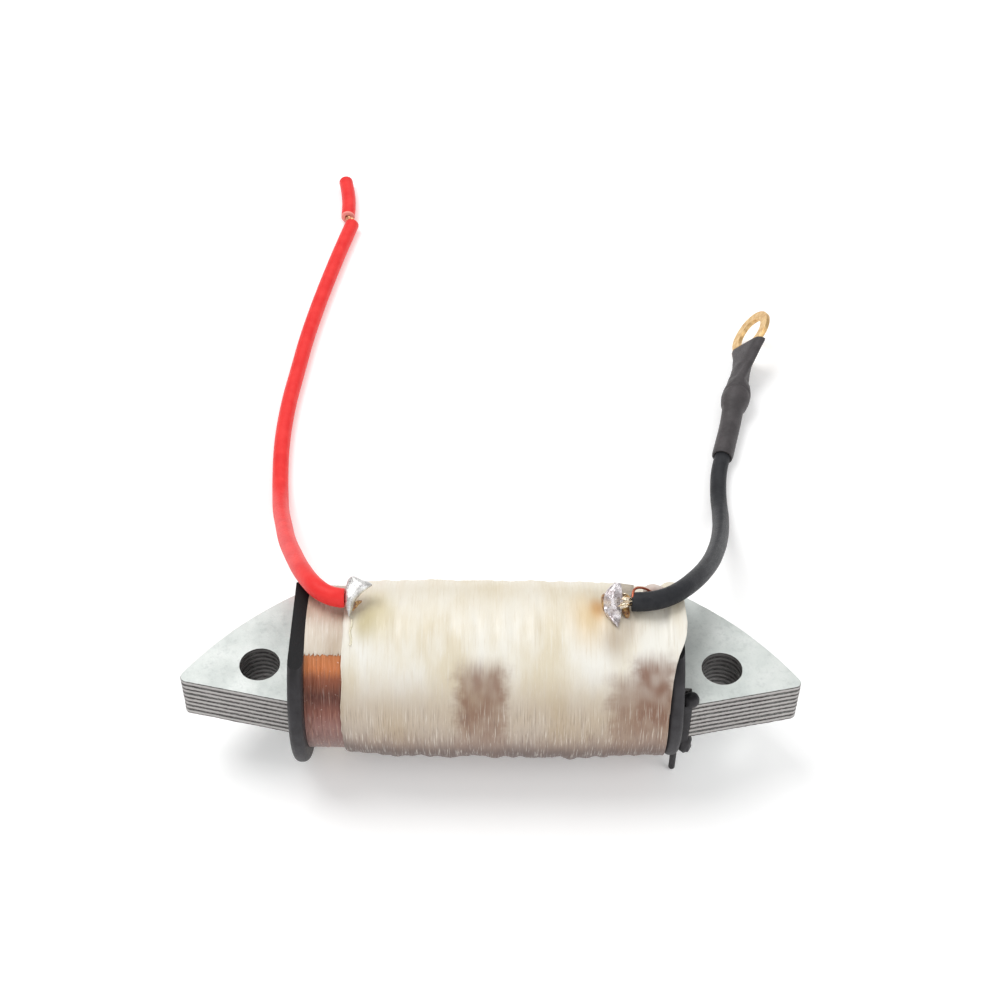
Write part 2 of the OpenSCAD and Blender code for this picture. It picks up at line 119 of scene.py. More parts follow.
# ---- mesh helpers ----
def add_piece(name, verts, faces, material, slot, nodes=(), sharp=50):
    """A closed mesh in millimetres, as a piece that rides on the part."""
    mesh = bpy.data.meshes.new(name)
    mesh.from_pydata((np.asarray(verts, float) * MM).tolist(), [], faces)
    work = bmesh.new()
    work.from_mesh(mesh)
    bmesh.ops.recalc_face_normals(work, faces=work.faces)
    work.to_mesh(mesh)
    work.free()
    mesh.shade_smooth()
    mesh.set_sharp_from_angle(angle=radians(sharp))
    mesh.materials.append(material)
    obj = put_in_scene(name, mesh)
    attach(obj, "root")
    if nodes:
        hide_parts(*nodes)
    return obj


def wear_only(node, material):
    """A CAD node keeps its solid and gets one material; returns its object."""
    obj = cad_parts[node]
    obj.data.materials.clear()
    obj.data.materials.append(material)
    return obj


def grid_faces(rows, cols, wrap_rows=False, wrap_cols=True, base=0):
    """Quads between the rows of points that start at base."""
    faces = []
    for i in range(rows if wrap_rows else rows - 1):
        here, up = base + i * cols, base + (i + 1) % rows * cols
        for j in range(cols if wrap_cols else cols - 1):
            k = (j + 1) % cols
            faces.append((here + j, here + k, up + k, up + j))
    return faces


def join_parts(parts):
    """Several (verts, faces) as one."""
    verts, faces = [], []
    for part_verts, part_faces in parts:
        base = len(verts)
        verts.extend(part_verts)
        faces.extend(tuple(base + k for k in f) for f in part_faces)
    return verts, faces


def closed_rings(rings):
    """Rings of points joined in a row, with a flat cap at each end."""
    cols = len(rings[0])
    verts = [p for ring in rings for p in ring]
    faces = grid_faces(len(rings), cols)
    faces.append(tuple(range(cols)))
    faces.append(tuple((len(rings) - 1) * cols + k for k in range(cols)))
    return verts, faces


def looped_rings(rings):
    """Rings of points joined in a row, and the last to the first, so that a hole runs through."""
    return [p for ring in rings for p in ring], grid_faces(len(rings), len(rings[0]), wrap_rows=True)


def flat_cap(loops, corners):
    """Triangles over a flat face with holes: its loops in plan, and the mesh's corners along them."""
    flat = [[Vector((p[0], p[1], 0)) for p in loop] for loop in loops]
    order = [k for ring in corners for k in ring]
    return [tuple(order[k] for k in tri) for tri in tessellate_polygon(flat)]


def shell(rows, cols, pair):
    """A closed sheet with walls round its edge; pair(i, j) gives its points outside and inside."""
    grid = [pair(i, j) for i in range(rows) for j in range(cols)]
    verts = [both[side] for side in (0, 1) for both in grid]
    base = rows * cols
    faces = grid_faces(rows, cols, wrap_cols=False) + grid_faces(rows, cols, wrap_cols=False, base=base)
    rim = [(0, j) for j in range(cols)] + [(i, cols - 1) for i in range(1, rows)]
    rim += [(rows - 1, j) for j in range(cols - 2, -1, -1)] + [(i, 0) for i in range(rows - 2, 0, -1)]
    rim = [i * cols + j for i, j in rim]
    for a, b in zip(rim, rim[1:] + rim[:1]):
        faces.append((a, b, base + b, base + a))
    return verts, faces


def angles(count):
    return [2 * pi * k / count for k in range(count)]


def ripple(*at):
    """Smooth noise from -1 to 1 at a place given by up to three numbers."""
    spot = list(at) + [0.0] * (3 - len(at))
    return noise.noise(Vector(spot))


def smooth_run(route, steps):
    """Catmull-Rom points through a route, as the frame's leads have."""
    pts = [np.array(p, float) for p in route]
    run = []
    for i in range(len(pts) - 1):
        a, b = pts[max(i - 1, 0)], pts[i]
        c, d = pts[i + 1], pts[min(i + 2, len(pts) - 1)]
        for j in range(steps):
            t = j / steps
            run.append(0.5 * (2 * b + (c - a) * t + (2 * a - 5 * b + 4 * c - d) * t ** 2
                              + (3 * b - a - 3 * c + d) * t ** 3))
    run.append(pts[-1])
    return run


def lead_path(route):
    """A straight first stretch out of the terminal, and a smooth run through the rest."""
    return [np.array(route[0], float)] + smooth_run(route[1:], 8)


def run_length(path):
    return sum(float(norm(b - a)) for a, b in zip(path, path[1:]))


def turning_frames(path):
    """A tangent and two cross directions at each point, that twist as little as they can."""
    tangents = []
    for i in range(len(path)):
        t = path[min(i + 1, len(path) - 1)] - path[max(i - 1, 0)]
        tangents.append(t / norm(t))
    side = np.cross(tangents[0], (0, 0, 1))
    side /= norm(side)
    frames = []
    for t in tangents:
        side = side - t * (side @ t)
        side /= norm(side)
        frames.append((t, side, np.cross(side, t)))
    return frames


def sweep(path, radius, sides):
    """Rings along a path; radius is a function of the point's index and the angle."""
    rings = []
    for i, (p, (_, u, v)) in enumerate(zip(path, turning_frames(path))):
        rings.append([p + radius(i, a) * (cos(a) * u + sin(a) * v) for a in angles(sides)])
    return rings


def wire(path, r, sides=10):
    """A round bar of one radius along a path."""
    return closed_rings(sweep([np.array(p, float) for p in path], lambda i, a: r, sides))


def loop_normals(loop, outward):
    """The direction across a flat loop at each of its points; outward is 1 or -1."""
    pts = np.array(loop)
    along = np.roll(pts, -1, 0) - np.roll(pts, 1, 0)
    along /= np.maximum(norm(along, axis=1, keepdims=True), 1e-9)
    return np.stack([along[:, 1], -along[:, 0]], 1) * outward


def about_axis(x, a, r):
    """A point about the bobbin's axis, at an angle from +Y over the top."""
    return (x, axis_y + r * cos(a), axis_z + r * sin(a))


def on_axis(x, turn, r):
    """The same, with the angle in degrees."""
    return about_axis(x, radians(turn), r)


# ---- material helpers ----
class Graph:
    """A short way to write one material's nodes."""

    def __init__(self, name, **settings):
        self.mat = bpy.data.materials.new(name)
        self.mat.use_nodes = True
        self.tree = self.mat.node_tree
        self.bsdf = next(n for n in self.tree.nodes if n.type == "BSDF_PRINCIPLED")
        for socket, value in settings.items():
            self.feed(self.bsdf.inputs[socket.replace("_", " ")], value)

    def feed(self, socket, value):
        if isinstance(value, bpy.types.NodeSocket):
            self.tree.links.new(value, socket)
        elif isinstance(value, tuple) and socket.type == "RGBA":
            socket.default_value = (*value, 1.0)
        else:
            socket.default_value = value

    def node(self, kind, inputs=(), **settings):
        n = self.tree.nodes.new(kind)
        for key, value in settings.items():
            setattr(n, key, value)
        for key, value in dict(inputs).items():
            self.feed(n.inputs[key], value)
        return n

    def calc(self, op, a, b=0.0):
        return self.node("ShaderNodeMath", {0: a, 1: b}, operation=op).outputs[0]

    def times(self, a, b):
        return self.calc("MULTIPLY", a, b)

    def plus(self, a, b):
        return self.calc("ADD", a, b)

    def minus(self, a, b):
        return self.calc("SUBTRACT", a, b)

    def shaken(self, value, by, reach):
        """A value pushed up and down by noise, up to half of reach either way."""
        return self.plus(value, self.times(self.minus(by, 0.5), reach))

    def distance(self, a, b):
        return self.calc("SQRT", self.plus(self.times(a, a), self.times(b, b)))

    def place(self):
        """x, y and z on the part, in millimetres."""
        coord = self.node("ShaderNodeTexCoord").outputs["Object"]
        to_mm = {0: coord, 1: (1 / MM,) * 3}
        self.xyz = self.node("ShaderNodeVectorMath", to_mm, operation="MULTIPLY").outputs[0]
        return self.node("ShaderNodeSeparateXYZ", {0: self.xyz}).outputs[:]

    def around(self, y, z):
        """Degrees about the bobbin's axis, from the top towards the front."""
        turn = self.calc("ARCTAN2", self.minus(axis_y, y), self.minus(z, axis_z))
        return self.times(turn, 180 / pi)

    def normal_z(self):
        normal = self.node("ShaderNodeNewGeometry").outputs["Normal"]
        return self.node("ShaderNodeSeparateXYZ", {0: normal}).outputs[2]

    def cloud(self, scale, detail, rough):
        """Noise that is the same in every direction."""
        return self.noise(self.xyz, scale, detail, rough)

    def vector(self, x, y, z):
        return self.node("ShaderNodeCombineXYZ", {0: x, 1: y, 2: z}).outputs[0]

    def noise(self, vector, scale, detail, rough):
        inputs = {"Vector": vector, "Scale": scale, "Detail": detail, "Roughness": rough}
        return self.node("ShaderNodeTexNoise", inputs).outputs["Fac"]

    def streaks(self, x, by_x, y, by_y, place, detail, rough):
        """Noise drawn out along one direction; place picks a different pattern."""
        return self.noise(self.vector(self.times(x, by_x), self.times(y, by_y), place), 1.0, detail, rough)

    def remap(self, value, low, high, to_low=0.0, to_high=1.0):
        inputs = {0: value, 1: low, 2: high, 3: to_low, 4: to_high}
        return self.node("ShaderNodeMapRange", inputs, interpolation_type="SMOOTHSTEP").outputs[0]

    def window(self, value, low, high, soft):
        """1 between two values, falling to 0 over soft on both sides."""
        rise = self.remap(value, low - soft, low + soft)
        fall = self.remap(value, high - soft, high + soft, 1.0, 0.0)
        return self.times(rise, fall)

    def ramp(self, value, stops):
        n = self.node("ShaderNodeValToRGB", {0: value})
        while len(n.color_ramp.elements) < len(stops):
            n.color_ramp.elements.new(0.5)
        for element, (at, colour) in zip(n.color_ramp.elements, stops):
            element.position = at
            element.color = (*colour, 1.0)
        return n.outputs[0]

    def mix(self, share, a, b):
        n = self.node("ShaderNodeMix", data_type="RGBA")
        self.feed(n.inputs[0], share)
        self.feed(n.inputs[6], a)
        self.feed(n.inputs[7], b)
        return n.outputs[2]

    def tint(self, colour, tone, value, low, high, to_low, to_high):
        """A tone laid over a colour, by a share that follows a value."""
        return self.mix(self.remap(value, low, high, to_low, to_high), colour, tone)

    def bump(self, height, distance):
        """A height from 0 to 1, worth distance millimetres."""
        inputs = {"Strength": 1.0, "Distance": distance * MM, "Height": height}
        return self.node("ShaderNodeBump", inputs).outputs[0]

    def finish(self, colour, rough=None, normal=None):
        self.feed(self.bsdf.inputs["Base Color"], colour)
        if rough is not None:
            self.feed(self.bsdf.inputs["Roughness"], rough)
        if normal is not None:
            self.feed(self.bsdf.inputs["Normal"], normal)
        return self.mat


# ---- materials ----
# where the tape is see-through: from x, to x, the angle of its upper edge, and how strongly
PATCHES = [(-4.3, 2.0, 37.0, 0.80), (15.6, 19.0, 44.0, 0.68), (18.6, 24.0, 32.0, 0.90)]
# resin stains beside a lead's end: the end, x from it, angle, reach, how strongly, and tone
STAINS = [
    (red_end, 3.9, 2.0, 4.2, 0.60, (0.52, 0.42, 0.16)), (red_end, 2.6, 10.0, 2.4, 0.62, (0.42, 0.33, 0.11)),
    (red_end, 0.6, -6.0, 2.6, 0.45, (0.40, 0.28, 0.16)),
    (black_end, -5.4, 4.0, 4.4, 0.62, (0.68, 0.45, 0.16)),
    (black_end, -4.4, -4.0, 1.8, 0.70, (0.62, 0.30, 0.06)),
    (black_end, -2.2, 20.0, 2.8, 0.55, (0.33, 0.22, 0.12)),
    (black_end, -0.2, 10.0, 2.4, 0.45, (0.42, 0.32, 0.22))]
# millimetres of arc for each degree round the tape, and fewer in a stain, which is long round it
ARC = 0.21
STAIN_ARC = 0.13


def steel_material():
    """Zinc-grey sheet: blotched faces, sheared edges in bright and brown-grey bands, and painted shade in the bolt
    holes.
    """
    g = Graph("lamination_steel", Metallic=0.35)
    x, y, z = g.place()
    blotch = g.cloud(0.22, 5, 0.6)
    grain = g.cloud(3.5, 4, 0.7)
    mottle = g.cloud(1.1, 5, 0.7)
    face = g.ramp(blotch, [(0.3, (0.575, 0.615, 0.595)), (0.52, (0.645, 0.68, 0.655)),
                           (0.75, (0.71, 0.735, 0.715))])
    face = g.tint(face, (0.48, 0.515, 0.50), mottle, 0.48, 0.70, 0.0, 0.50)
    face = g.tint(face, (0.40, 0.43, 0.42), grain, 0.56, 0.72, 0.0, 0.30)
    scratch = g.streaks(x, 0.5, y, 6.0, 2.0, 5, 0.75)
    face = g.tint(face, (0.86, 0.88, 0.86), scratch, 0.60, 0.72, 0.0, 0.5)
    # sheared edges: each sheet has a bright cut zone over a dark torn zone
    layer = g.calc("FRACT", g.calc("DIVIDE", g.plus(z, 0.0005), lam_t))
    streak = g.noise(g.vector(g.times(x, 2.6), g.times(y, 2.6), g.times(z, 5.0)), 1.0, 5, 0.8)
    wavy = g.shaken(layer, streak, 0.55)
    edge = g.ramp(wavy, [
        (0.13, (0.018, 0.015, 0.014)), (0.25, (0.12, 0.10, 0.095)), (0.36, (0.34, 0.32, 0.31)),
        (0.62, (0.50, 0.485, 0.475)), (0.82, (0.36, 0.345, 0.335)), (0.93, (0.04, 0.034, 0.032))])
    edge = g.tint(edge, (0.72, 0.71, 0.70), streak, 0.60, 0.70, 0.0, 0.6)
    on_face = g.remap(g.calc("ABSOLUTE", g.normal_z()), 0.55, 0.85)
    # painted shade: the bores' walls are painted darker than the sheared outside
    from_bore = g.distance(g.minus(g.calc("ABSOLUTE", x), hole_x), y)
    edge = g.tint(edge, (0.055, 0.050, 0.050), from_bore, hole_r + 0.15, hole_r + 0.3, 0.62, 0.0)
    height = g.plus(g.times(grain, 0.6), g.times(streak, 0.4))
    rough = g.remap(blotch, 0.3, 0.7, 0.62, 0.42)
    return g.finish(g.mix(on_face, edge, face), rough, g.bump(height, 0.035))


def nylon_material():
    """Moulded black nylon with a dull skin, pale scuffs, and painted shade on the faces that look up."""
    g = Graph("black_nylon", Specular_IOR_Level=0.16)
    g.place()
    cloud = g.cloud(0.5, 4, 0.6)
    skin = g.cloud(6.0, 3, 0.6)
    scuff = g.remap(g.cloud(1.6, 6, 0.75), 0.62, 0.78)
    colour = g.ramp(cloud, [(0.3, (0.030, 0.028, 0.030)), (0.7, (0.052, 0.050, 0.054))])
    # painted shade: darker where it faces up
    colour = g.mix(g.remap(g.normal_z(), 0.55, 0.95), colour, (0.008, 0.008, 0.009))
    colour = g.mix(g.times(scuff, 0.30), colour, (0.085, 0.083, 0.087))
    return g.finish(colour, g.remap(skin, 0.3, 0.7, 0.34, 0.52), g.bump(skin, 0.03))


def copper_material():
    """Varnished winding with painted light and shade round the drum: a lit orange band where the tape stops,
    painted shade below it, and mauve lower down.
    """
    g = Graph("enamelled_copper", Metallic=0.35, Coat_Weight=0.25, Coat_Roughness=0.25)
    x, y, z = g.place()
    turn = g.around(y, z)
    strand = g.streaks(x, 5.5, turn, 0.03, 0.0, 3, 0.7)
    glint_speck = g.cloud(2.4, 5, 0.7)
    dash = g.streaks(x, 6.5, turn, 0.06, 7.0, 2, 0.5)
    # painted light and shade: the colour follows the angle round the drum, lit orange at the top of the window and
    # shaded darker below
    share = g.calc("DIVIDE", g.shaken(turn, strand, 16.0), 180.0)
    colour = g.ramp(share, [
        (0.17, (0.56, 0.20, 0.07)), (0.225, (0.60, 0.19, 0.06)), (0.262, (0.28, 0.08, 0.035)),
        (0.33, (0.105, 0.028, 0.017)), (0.40, (0.20, 0.062, 0.040)), (0.47, (0.25, 0.115, 0.095)),
        (0.60, (0.22, 0.115, 0.10))])
    colour = g.tint(colour, (0.66, 0.34, 0.20), strand, 0.52, 0.75, 0.0, 0.45)
    # painted glints: sparse pale specks on the wire
    colour = g.tint(colour, (0.80, 0.62, 0.52), glint_speck, 0.62, 0.70, 0.0, 0.6)
    pale = g.times(g.remap(dash, 0.60, 0.68), g.remap(turn, 40.0, 72.0, 0.10, 0.30))
    colour = g.mix(pale, colour, (0.62, 0.50, 0.44))
    return g.finish(colour, g.remap(glint_speck, 0.3, 0.7, 0.28, 0.5), g.bump(strand, 0.03))


def tape_material(name, thin):
    """Resin-soaked glass tape with fibres round the drum and stains; brown patches and painted shade towards the
    underside unless it is thin.
    """
    g = Graph(name, Coat_Weight=0.12, Coat_Roughness=0.32)
    x, y, z = g.place()
    turn = g.around(y, z)
    arc = g.times(turn, ARC)
    fine = g.streaks(x, 3.4, arc, 0.14, 0.0, 4, 0.7)
    hair = g.streaks(x, 7.5, arc, 0.4, 3.0, 3, 0.6)
    dash = g.streaks(x, 6.5, arc, 0.24, 7.0, 3, 0.6)
    broad = g.streaks(x, 0.16, arc, 0.07, 1.0, 3, 0.5)
    if thin:
        tones = [(0.36, (0.40, 0.29, 0.215)), (0.50, (0.56, 0.46, 0.36)), (0.64, (0.68, 0.60, 0.50))]
    else:
        tones = [(0.35, (0.74, 0.665, 0.51)), (0.49, (0.825, 0.78, 0.67)), (0.61, (0.87, 0.85, 0.78))]
    colour = g.ramp(broad, tones)
    colour = g.tint(colour, (0.88, 0.865, 0.81), fine, 0.52, 0.70, 0.0, 0.40)
    colour = g.tint(colour, (0.56, 0.45, 0.31), fine, 0.34, 0.47, 0.24, 0.0)
    colour = g.tint(colour, (0.91, 0.90, 0.87), hair, 0.58, 0.70, 0.0, 0.35)
    if not thin:
        # yellower over the top, where the varnish pooled
        colour = g.tint(colour, (0.66, 0.575, 0.42), turn, 26.0, -30.0, 0.0, 0.50)
        # ragged limits, because the resin soaked along the fibres
        ragged = g.shaken(turn, fine, 16.0)
        # the winding shows through more and more towards the underside, and painted shade darkens it there too,
        # nearly to black underneath
        colour = g.tint(colour, (0.40, 0.275, 0.165), ragged, 34.0, 74.0, 0.0, 0.66)
        colour = g.tint(colour, (0.225, 0.145, 0.125), ragged, 72.0, 104.0, 0.0, 0.66)
        colour = g.tint(colour, (0.080, 0.045, 0.038), ragged, 90.0, 112.0, 0.0, 0.80)
        wander = g.streaks(x, 0.4, arc, 0.5, 5.0, 3, 0.6)
        side = g.shaken(g.shaken(x, wander, 3.0), hair, 0.9)
        blotch = g.streaks(x, 0.45, arc, 0.30, 9.0, 1, 0.5)
        for x0, x1, top, share in PATCHES:
            patch = g.times(g.window(side, x0, x1, 1.3), g.remap(ragged, top - 8.0, top + 9.0))
            patch = g.times(patch, g.remap(blotch, 0.30, 0.65, 0.70, 1.0))
            fade = g.remap(turn, 70.0, 108.0, share, 0.20)
            colour = g.mix(g.times(patch, fade), colour, (0.200, 0.080, 0.038))
    # amber and olive resin beside the two soldered terminals
    for end, from_x, at_turn, wide, share, tone in STAINS:
        away = g.distance(g.minus(x, end[0] + from_x), g.times(g.minus(turn, at_turn), STAIN_ARC))
        colour = g.tint(colour, tone, away, 0.0, wide, share, 0.0)
    # broken pale fibres on the lower front
    pale = g.times(g.remap(dash, 0.56, 0.68), g.remap(turn, 48.0, 78.0))
    colour = g.mix(g.times(pale, 0.55), colour, (0.80, 0.74, 0.65))
    dark = g.times(g.remap(dash, 0.44, 0.36), g.remap(turn, 52.0, 84.0))
    colour = g.mix(g.times(dark, 0.45), colour, (0.16, 0.10, 0.082))
    height = g.plus(g.times(fine, 0.4), g.times(hair, 0.3))
    height = g.plus(height, g.times(dash, g.remap(turn, 40.0, 80.0, 0.1, 0.5)))
    return g.finish(colour, g.remap(dash, 0.4, 0.65, 0.50, 0.30), g.bump(height, 0.10))


def pvc_material(name, low, high, bump, rough, shine=0.5, cut_at=None):
    """Soft insulation with a faint orange-peel skin and rubbed dirt; pale near the y of a cut, cut_at."""
    g = Graph(name, Specular_IOR_Level=shine)
    y = g.place()[1]
    cloud = g.cloud(0.35, 4, 0.6)
    skin = g.cloud(4.0, 3, 0.6)
    colour = g.ramp(cloud, [(0.35, low), (0.65, high)])
    scuff = g.remap(g.cloud(1.3, 6, 0.7), 0.60, 0.74, 0.0, 0.35)
    colour = g.mix(scuff, colour, tuple(min(1.0, c * 1.5 + 0.03) for c in high))
    if cut_at:
        colour = g.mix(g.window(y, cut_at - 0.3, cut_at + 0.3, 0.06), colour, (0.90, 0.33, 0.29))
    return g.finish(colour, g.remap(skin, 0.3, 0.7, rough - 0.07, rough + 0.08), g.bump(skin, bump))


def metal_material(name, low, high, rough, lump, scale, metallic=1.0):
    """A worn metal whose tone and gloss vary from place to place."""
    g = Graph(name, Metallic=metallic)
    g.place()
    cloud = g.cloud(scale, 5, 0.65)
    grain = g.cloud(scale * 5, 4, 0.65)
    colour = g.ramp(cloud, [(0.34, low), (0.62, high)])
    return g.finish(colour, g.remap(grain, 0.3, 0.7, rough - 0.08, rough + 0.14), g.bump(grain, lump))


def solder_material(name, low, high, dirt):
    """Bright lumpy solder or tin, with brown flux in its hollows."""
    g = Graph(name, Metallic=0.85)
    g.place()
    cloud = g.cloud(0.9, 3, 0.55)
    crease = g.cloud(2.0, 5, 0.7)
    colour = g.ramp(cloud, [(0.38, low), (0.62, high)])
    colour = g.tint(colour, (0.11, 0.055, 0.035), crease, 0.34, 0.44, dirt, 0.0)
    return g.finish(colour, g.remap(crease, 0.3, 0.7, 0.42, 0.20), g.bump(crease, 0.12))


def flux_material():
    """Amber-brown flux with bright metal specks."""
    g = Graph("flux", Coat_Weight=0.6, Coat_Roughness=0.1)
    g.place()
    cloud = g.cloud(1.6, 5, 0.7)
    colour = g.ramp(cloud, [(0.35, (0.07, 0.025, 0.012)), (0.5, (0.30, 0.13, 0.04)),
                            (0.62, (0.62, 0.38, 0.12)), (0.72, (0.85, 0.74, 0.52))])
    return g.finish(colour, 0.3, g.bump(cloud, 0.15))


# where the red slug's near end is cut
slug_y = 118.6
steel = steel_material()
nylon = nylon_material()
copper = copper_material()
tape = tape_material("fibre_tape", False)
thin_tape = tape_material("thin_tape", True)
red_pvc = pvc_material("red_pvc", (0.80, 0.030, 0.030), (0.88, 0.050, 0.046), 0.012, 0.42, 0.16, slug_y)
black_pvc = pvc_material("black_pvc", (0.024, 0.025, 0.028), (0.040, 0.041, 0.045), 0.04, 0.42, 0.07)
shrink = pvc_material("heat_shrink", (0.050, 0.045, 0.047), (0.078, 0.070, 0.073), 0.04, 0.52, 0.30)
brass = metal_material("brass_terminal", (0.66, 0.40, 0.16), (0.88, 0.63, 0.32), 0.36, 0.02, 1.0, 0.9)
strands = metal_material("bare_copper", (0.62, 0.25, 0.12), (0.90, 0.52, 0.32), 0.28, 0.01, 2.0)
bright_strands = metal_material("tinned_strands", (0.70, 0.50, 0.28), (0.92, 0.86, 0.74), 0.22, 0.01, 1.6)
enamel = metal_material("fine_wire", (0.30, 0.06, 0.03), (0.50, 0.13, 0.06), 0.25, 0.01, 1.5, 0.4)
solder = solder_material("solder", (0.50, 0.45, 0.46), (0.84, 0.80, 0.82), 0.85)
bright_tin = solder_material("tin", (0.60, 0.59, 0.58), (0.92, 0.92, 0.91), 0.45)
flux = flux_material()

# ---- the leads' routes, as in the CAD ----
red_route = [
    (-19.3, 3.5, 16.6), (-19.9, 3.5, 16.6), (-21.1, 3.75, 16.7), (-22.4, 4.5, 16.7), (-23.9, 6.4, 16.2),
    (-25.8, 10.8, 13.9), (-27.8, 17.4, 9.6), (-29.8, 24.9, 4.6), (-31.4, 32.5, -0.3), (-32.8, 39.4, -4.3),
    (-33.6, 44.8, -6.6), (-34.1, 49.3, lie_z), (-34.5, 55, lie_z), (-34.6, 61, lie_z), (-34.3, 68, lie_z),
    (-33.6, 75.5, lie_z), (-32.8, 83.5, lie_z), (-31.7, 91.5, lie_z), (-30.3, 100, lie_z),
    (-28.7, 108.7, lie_z), (-27.1, 116.6, lie_z)]
slug_from = np.array((-28.0, slug_y, lie_z))
slug_to = np.array((-29.2, 130.1, lie_z))
black_route = [
    (18.45, 3.3, 16.6), (19.05, 3.3, 16.6), (20.4, 3.2, 16.8), (22.1, 3.5, 16.9), (24.1, 4.7, 16.6),
    (26.2, 7.3, 15.4), (28.5, 11.7, 12.8), (30.6, 17.4, 9.0), (32.3, 23.6, 4.8), (33.7, 29.9, 0.6),
    (34.7, 35.8, -3.0), (35.3, 40.9, -5.7), (35.5, 44.8, -6.9), (35.7, 48, -7.2), (36.1, 51.5, -7.2),
    (36.9, 55.0, -7.1), (37.9, 58.8, -6.9), (38.9, 62.8, -6.7), (39.7, 66.2, -6.4)]


def direction(a, b):
    return (b - a) / norm(b - a)


def lead_mesh(path, seed):
    """Insulation along a path, with rolled cut edges and a dimple at both ends."""
    last = len(path) - 1
    # how far a rolled end's edge stands back
    roll = 0.10

    def radius(i, a):
        if i in (0, last) or path[i][2] < lie_z + 0.3:
            return lead_r - SKIN_GAP
        swell = 0.025 * ripple(i * 0.12, seed) + 0.012 * ripple(i * 0.5, cos(a), sin(a))
        return lead_r - SKIN_GAP + swell

    def cut_end(ring, centre, inward):
        rag = [1 + 0.05 * ripple(k * 0.9, seed, 3.0) for k in range(len(ring))]
        return [[centre + (p - centre) * share * r + push * inward for p, r in zip(ring, rag)]
                for push, share in ((0.30, 0.44), (0.02, 0.48), (0.0, 0.93))]

    body = sweep(path, radius, LEAD_SIDES)
    start_in, end_in = direction(path[0], path[1]), direction(path[-1], path[-2])
    head = cut_end(body[0], path[0], start_in)
    tail = cut_end(body[-1], path[-1], end_in)[::-1]
    body[0] = [p + roll * start_in for p in body[0]]
    body[-1] = [p + roll * end_in for p in body[-1]]
    # the curve between the route's points may dip a little, so the skin is kept on the floor
    rings = [[np.array((p[0], p[1], max(p[2], floor_z))) for p in ring] for ring in head + body + tail]
    return closed_rings(rings)


def strand_bundle(path, count, r, spread, seed):
    """Fine wires laid round a path in two layers, twisted together."""
    # radians for each millimetre
    twist = 0.9
    rng = random.Random(seed)
    frames = turning_frames(path)
    parts = []
    travelled = [0.0]
    for a, b in zip(path, path[1:]):
        travelled.append(travelled[-1] + float(norm(b - a)))
    for n in range(count):
        ring_r = 0.0 if n == 0 else spread * (0.5 if n < 6 else 1.0)
        phase = rng.uniform(0, 0.4) + 2 * pi * n / (5 if n < 6 else count - 6)
        points = []
        for p, (_, u, v), s in zip(path, frames, travelled):
            a = phase + twist * s
            points.append(p + ring_r * (cos(a) * u + sin(a) * v))
        parts.append(wire(points, r, 8))
    return join_parts(parts)


red_path = lead_path(red_route)
black_path = lead_path(black_route)
red_insulation = add_piece("red_insulation", *lead_mesh(red_path, 1.0), red_pvc, "red_pvc", ["red_lead"])
black_insulation = add_piece("black_insulation", *lead_mesh(black_path, 5.0), black_pvc, "black_pvc",
                             ["black_lead"])

# bare strands between the red lead's cut end and its slug
cut_v = direction(red_path[-2], red_path[-1])
slug_v = direction(slug_from, slug_to)
tip_run = smooth_run([
    red_path[-1] - 0.28 * cut_v, red_path[-1] + 0.4 * cut_v, (-27.35, 117.8, lie_z), slug_from,
    slug_from + 0.25 * (slug_to - slug_from), slug_from + 0.85 * (slug_to - slug_from)], 5)
tip_strands = add_piece("red_tip_wires", *strand_bundle(tip_run, 16, 0.105, 0.46, 4), strands, "bare_copper",
                        ["red_tip_strands"])


def slug_mesh():
    """A cut length of insulation, hollow, with rolled ends and a slight bow."""
    bow, bore_r = 0.35, 0.61
    length = float(norm(slug_to - slug_from))
    middle = list(np.linspace(0.8, length - 0.8, 22))
    stations = [0.0, 0.12, 0.4] + middle + [length - 0.4, length - 0.12, length]
    path = [slug_from + slug_v * s + np.array((bow * sin(pi * s / length), 0, 0)) for s in stations]
    shape = [0.93, 0.99] + [1.0] * (len(path) - 4) + [0.99, 0.93]
    outer = sweep(path, lambda i, a: (lead_r - SKIN_GAP) * shape[i], LEAD_SIDES)
    inner = sweep(path, lambda i, a: bore_r, LEAD_SIDES)
    return looped_rings(outer + inner[::-1])


slug = add_piece("red_slug", *slug_mesh(), red_pvc, "red_pvc", ["red_insulation_slug"])
run_length(red_path) * MM

# ---- ring terminal's place, and the sleeve round its neck ----
eye_c = np.array((43.85, 82.7, -4.3))
eye_heading, eye_pitch, eye_twist = (radians(a) for a in (14.4, 6.6, 53.5))
eye_turn = (Matrix.Rotation(-eye_heading, 3, "Z") @ Matrix.Rotation(eye_pitch, 3, "X")
            @ Matrix.Rotation(-eye_twist, 3, "Y"))
wide_v = np.array(eye_turn @ Vector((1, 0, 0)))
along_v = np.array(eye_turn @ Vector((0, 1, 0)))
face_v = np.array(eye_turn @ Vector((0, 0, 1)))
barrel_y = -16.0
sleeve_wall = 0.35


def on_eye(x, y, z):
    """A point on the ring terminal: across it, along it from the eye's centre, and out of its face."""
    return eye_c + x * wide_v + y * along_v + z * face_v


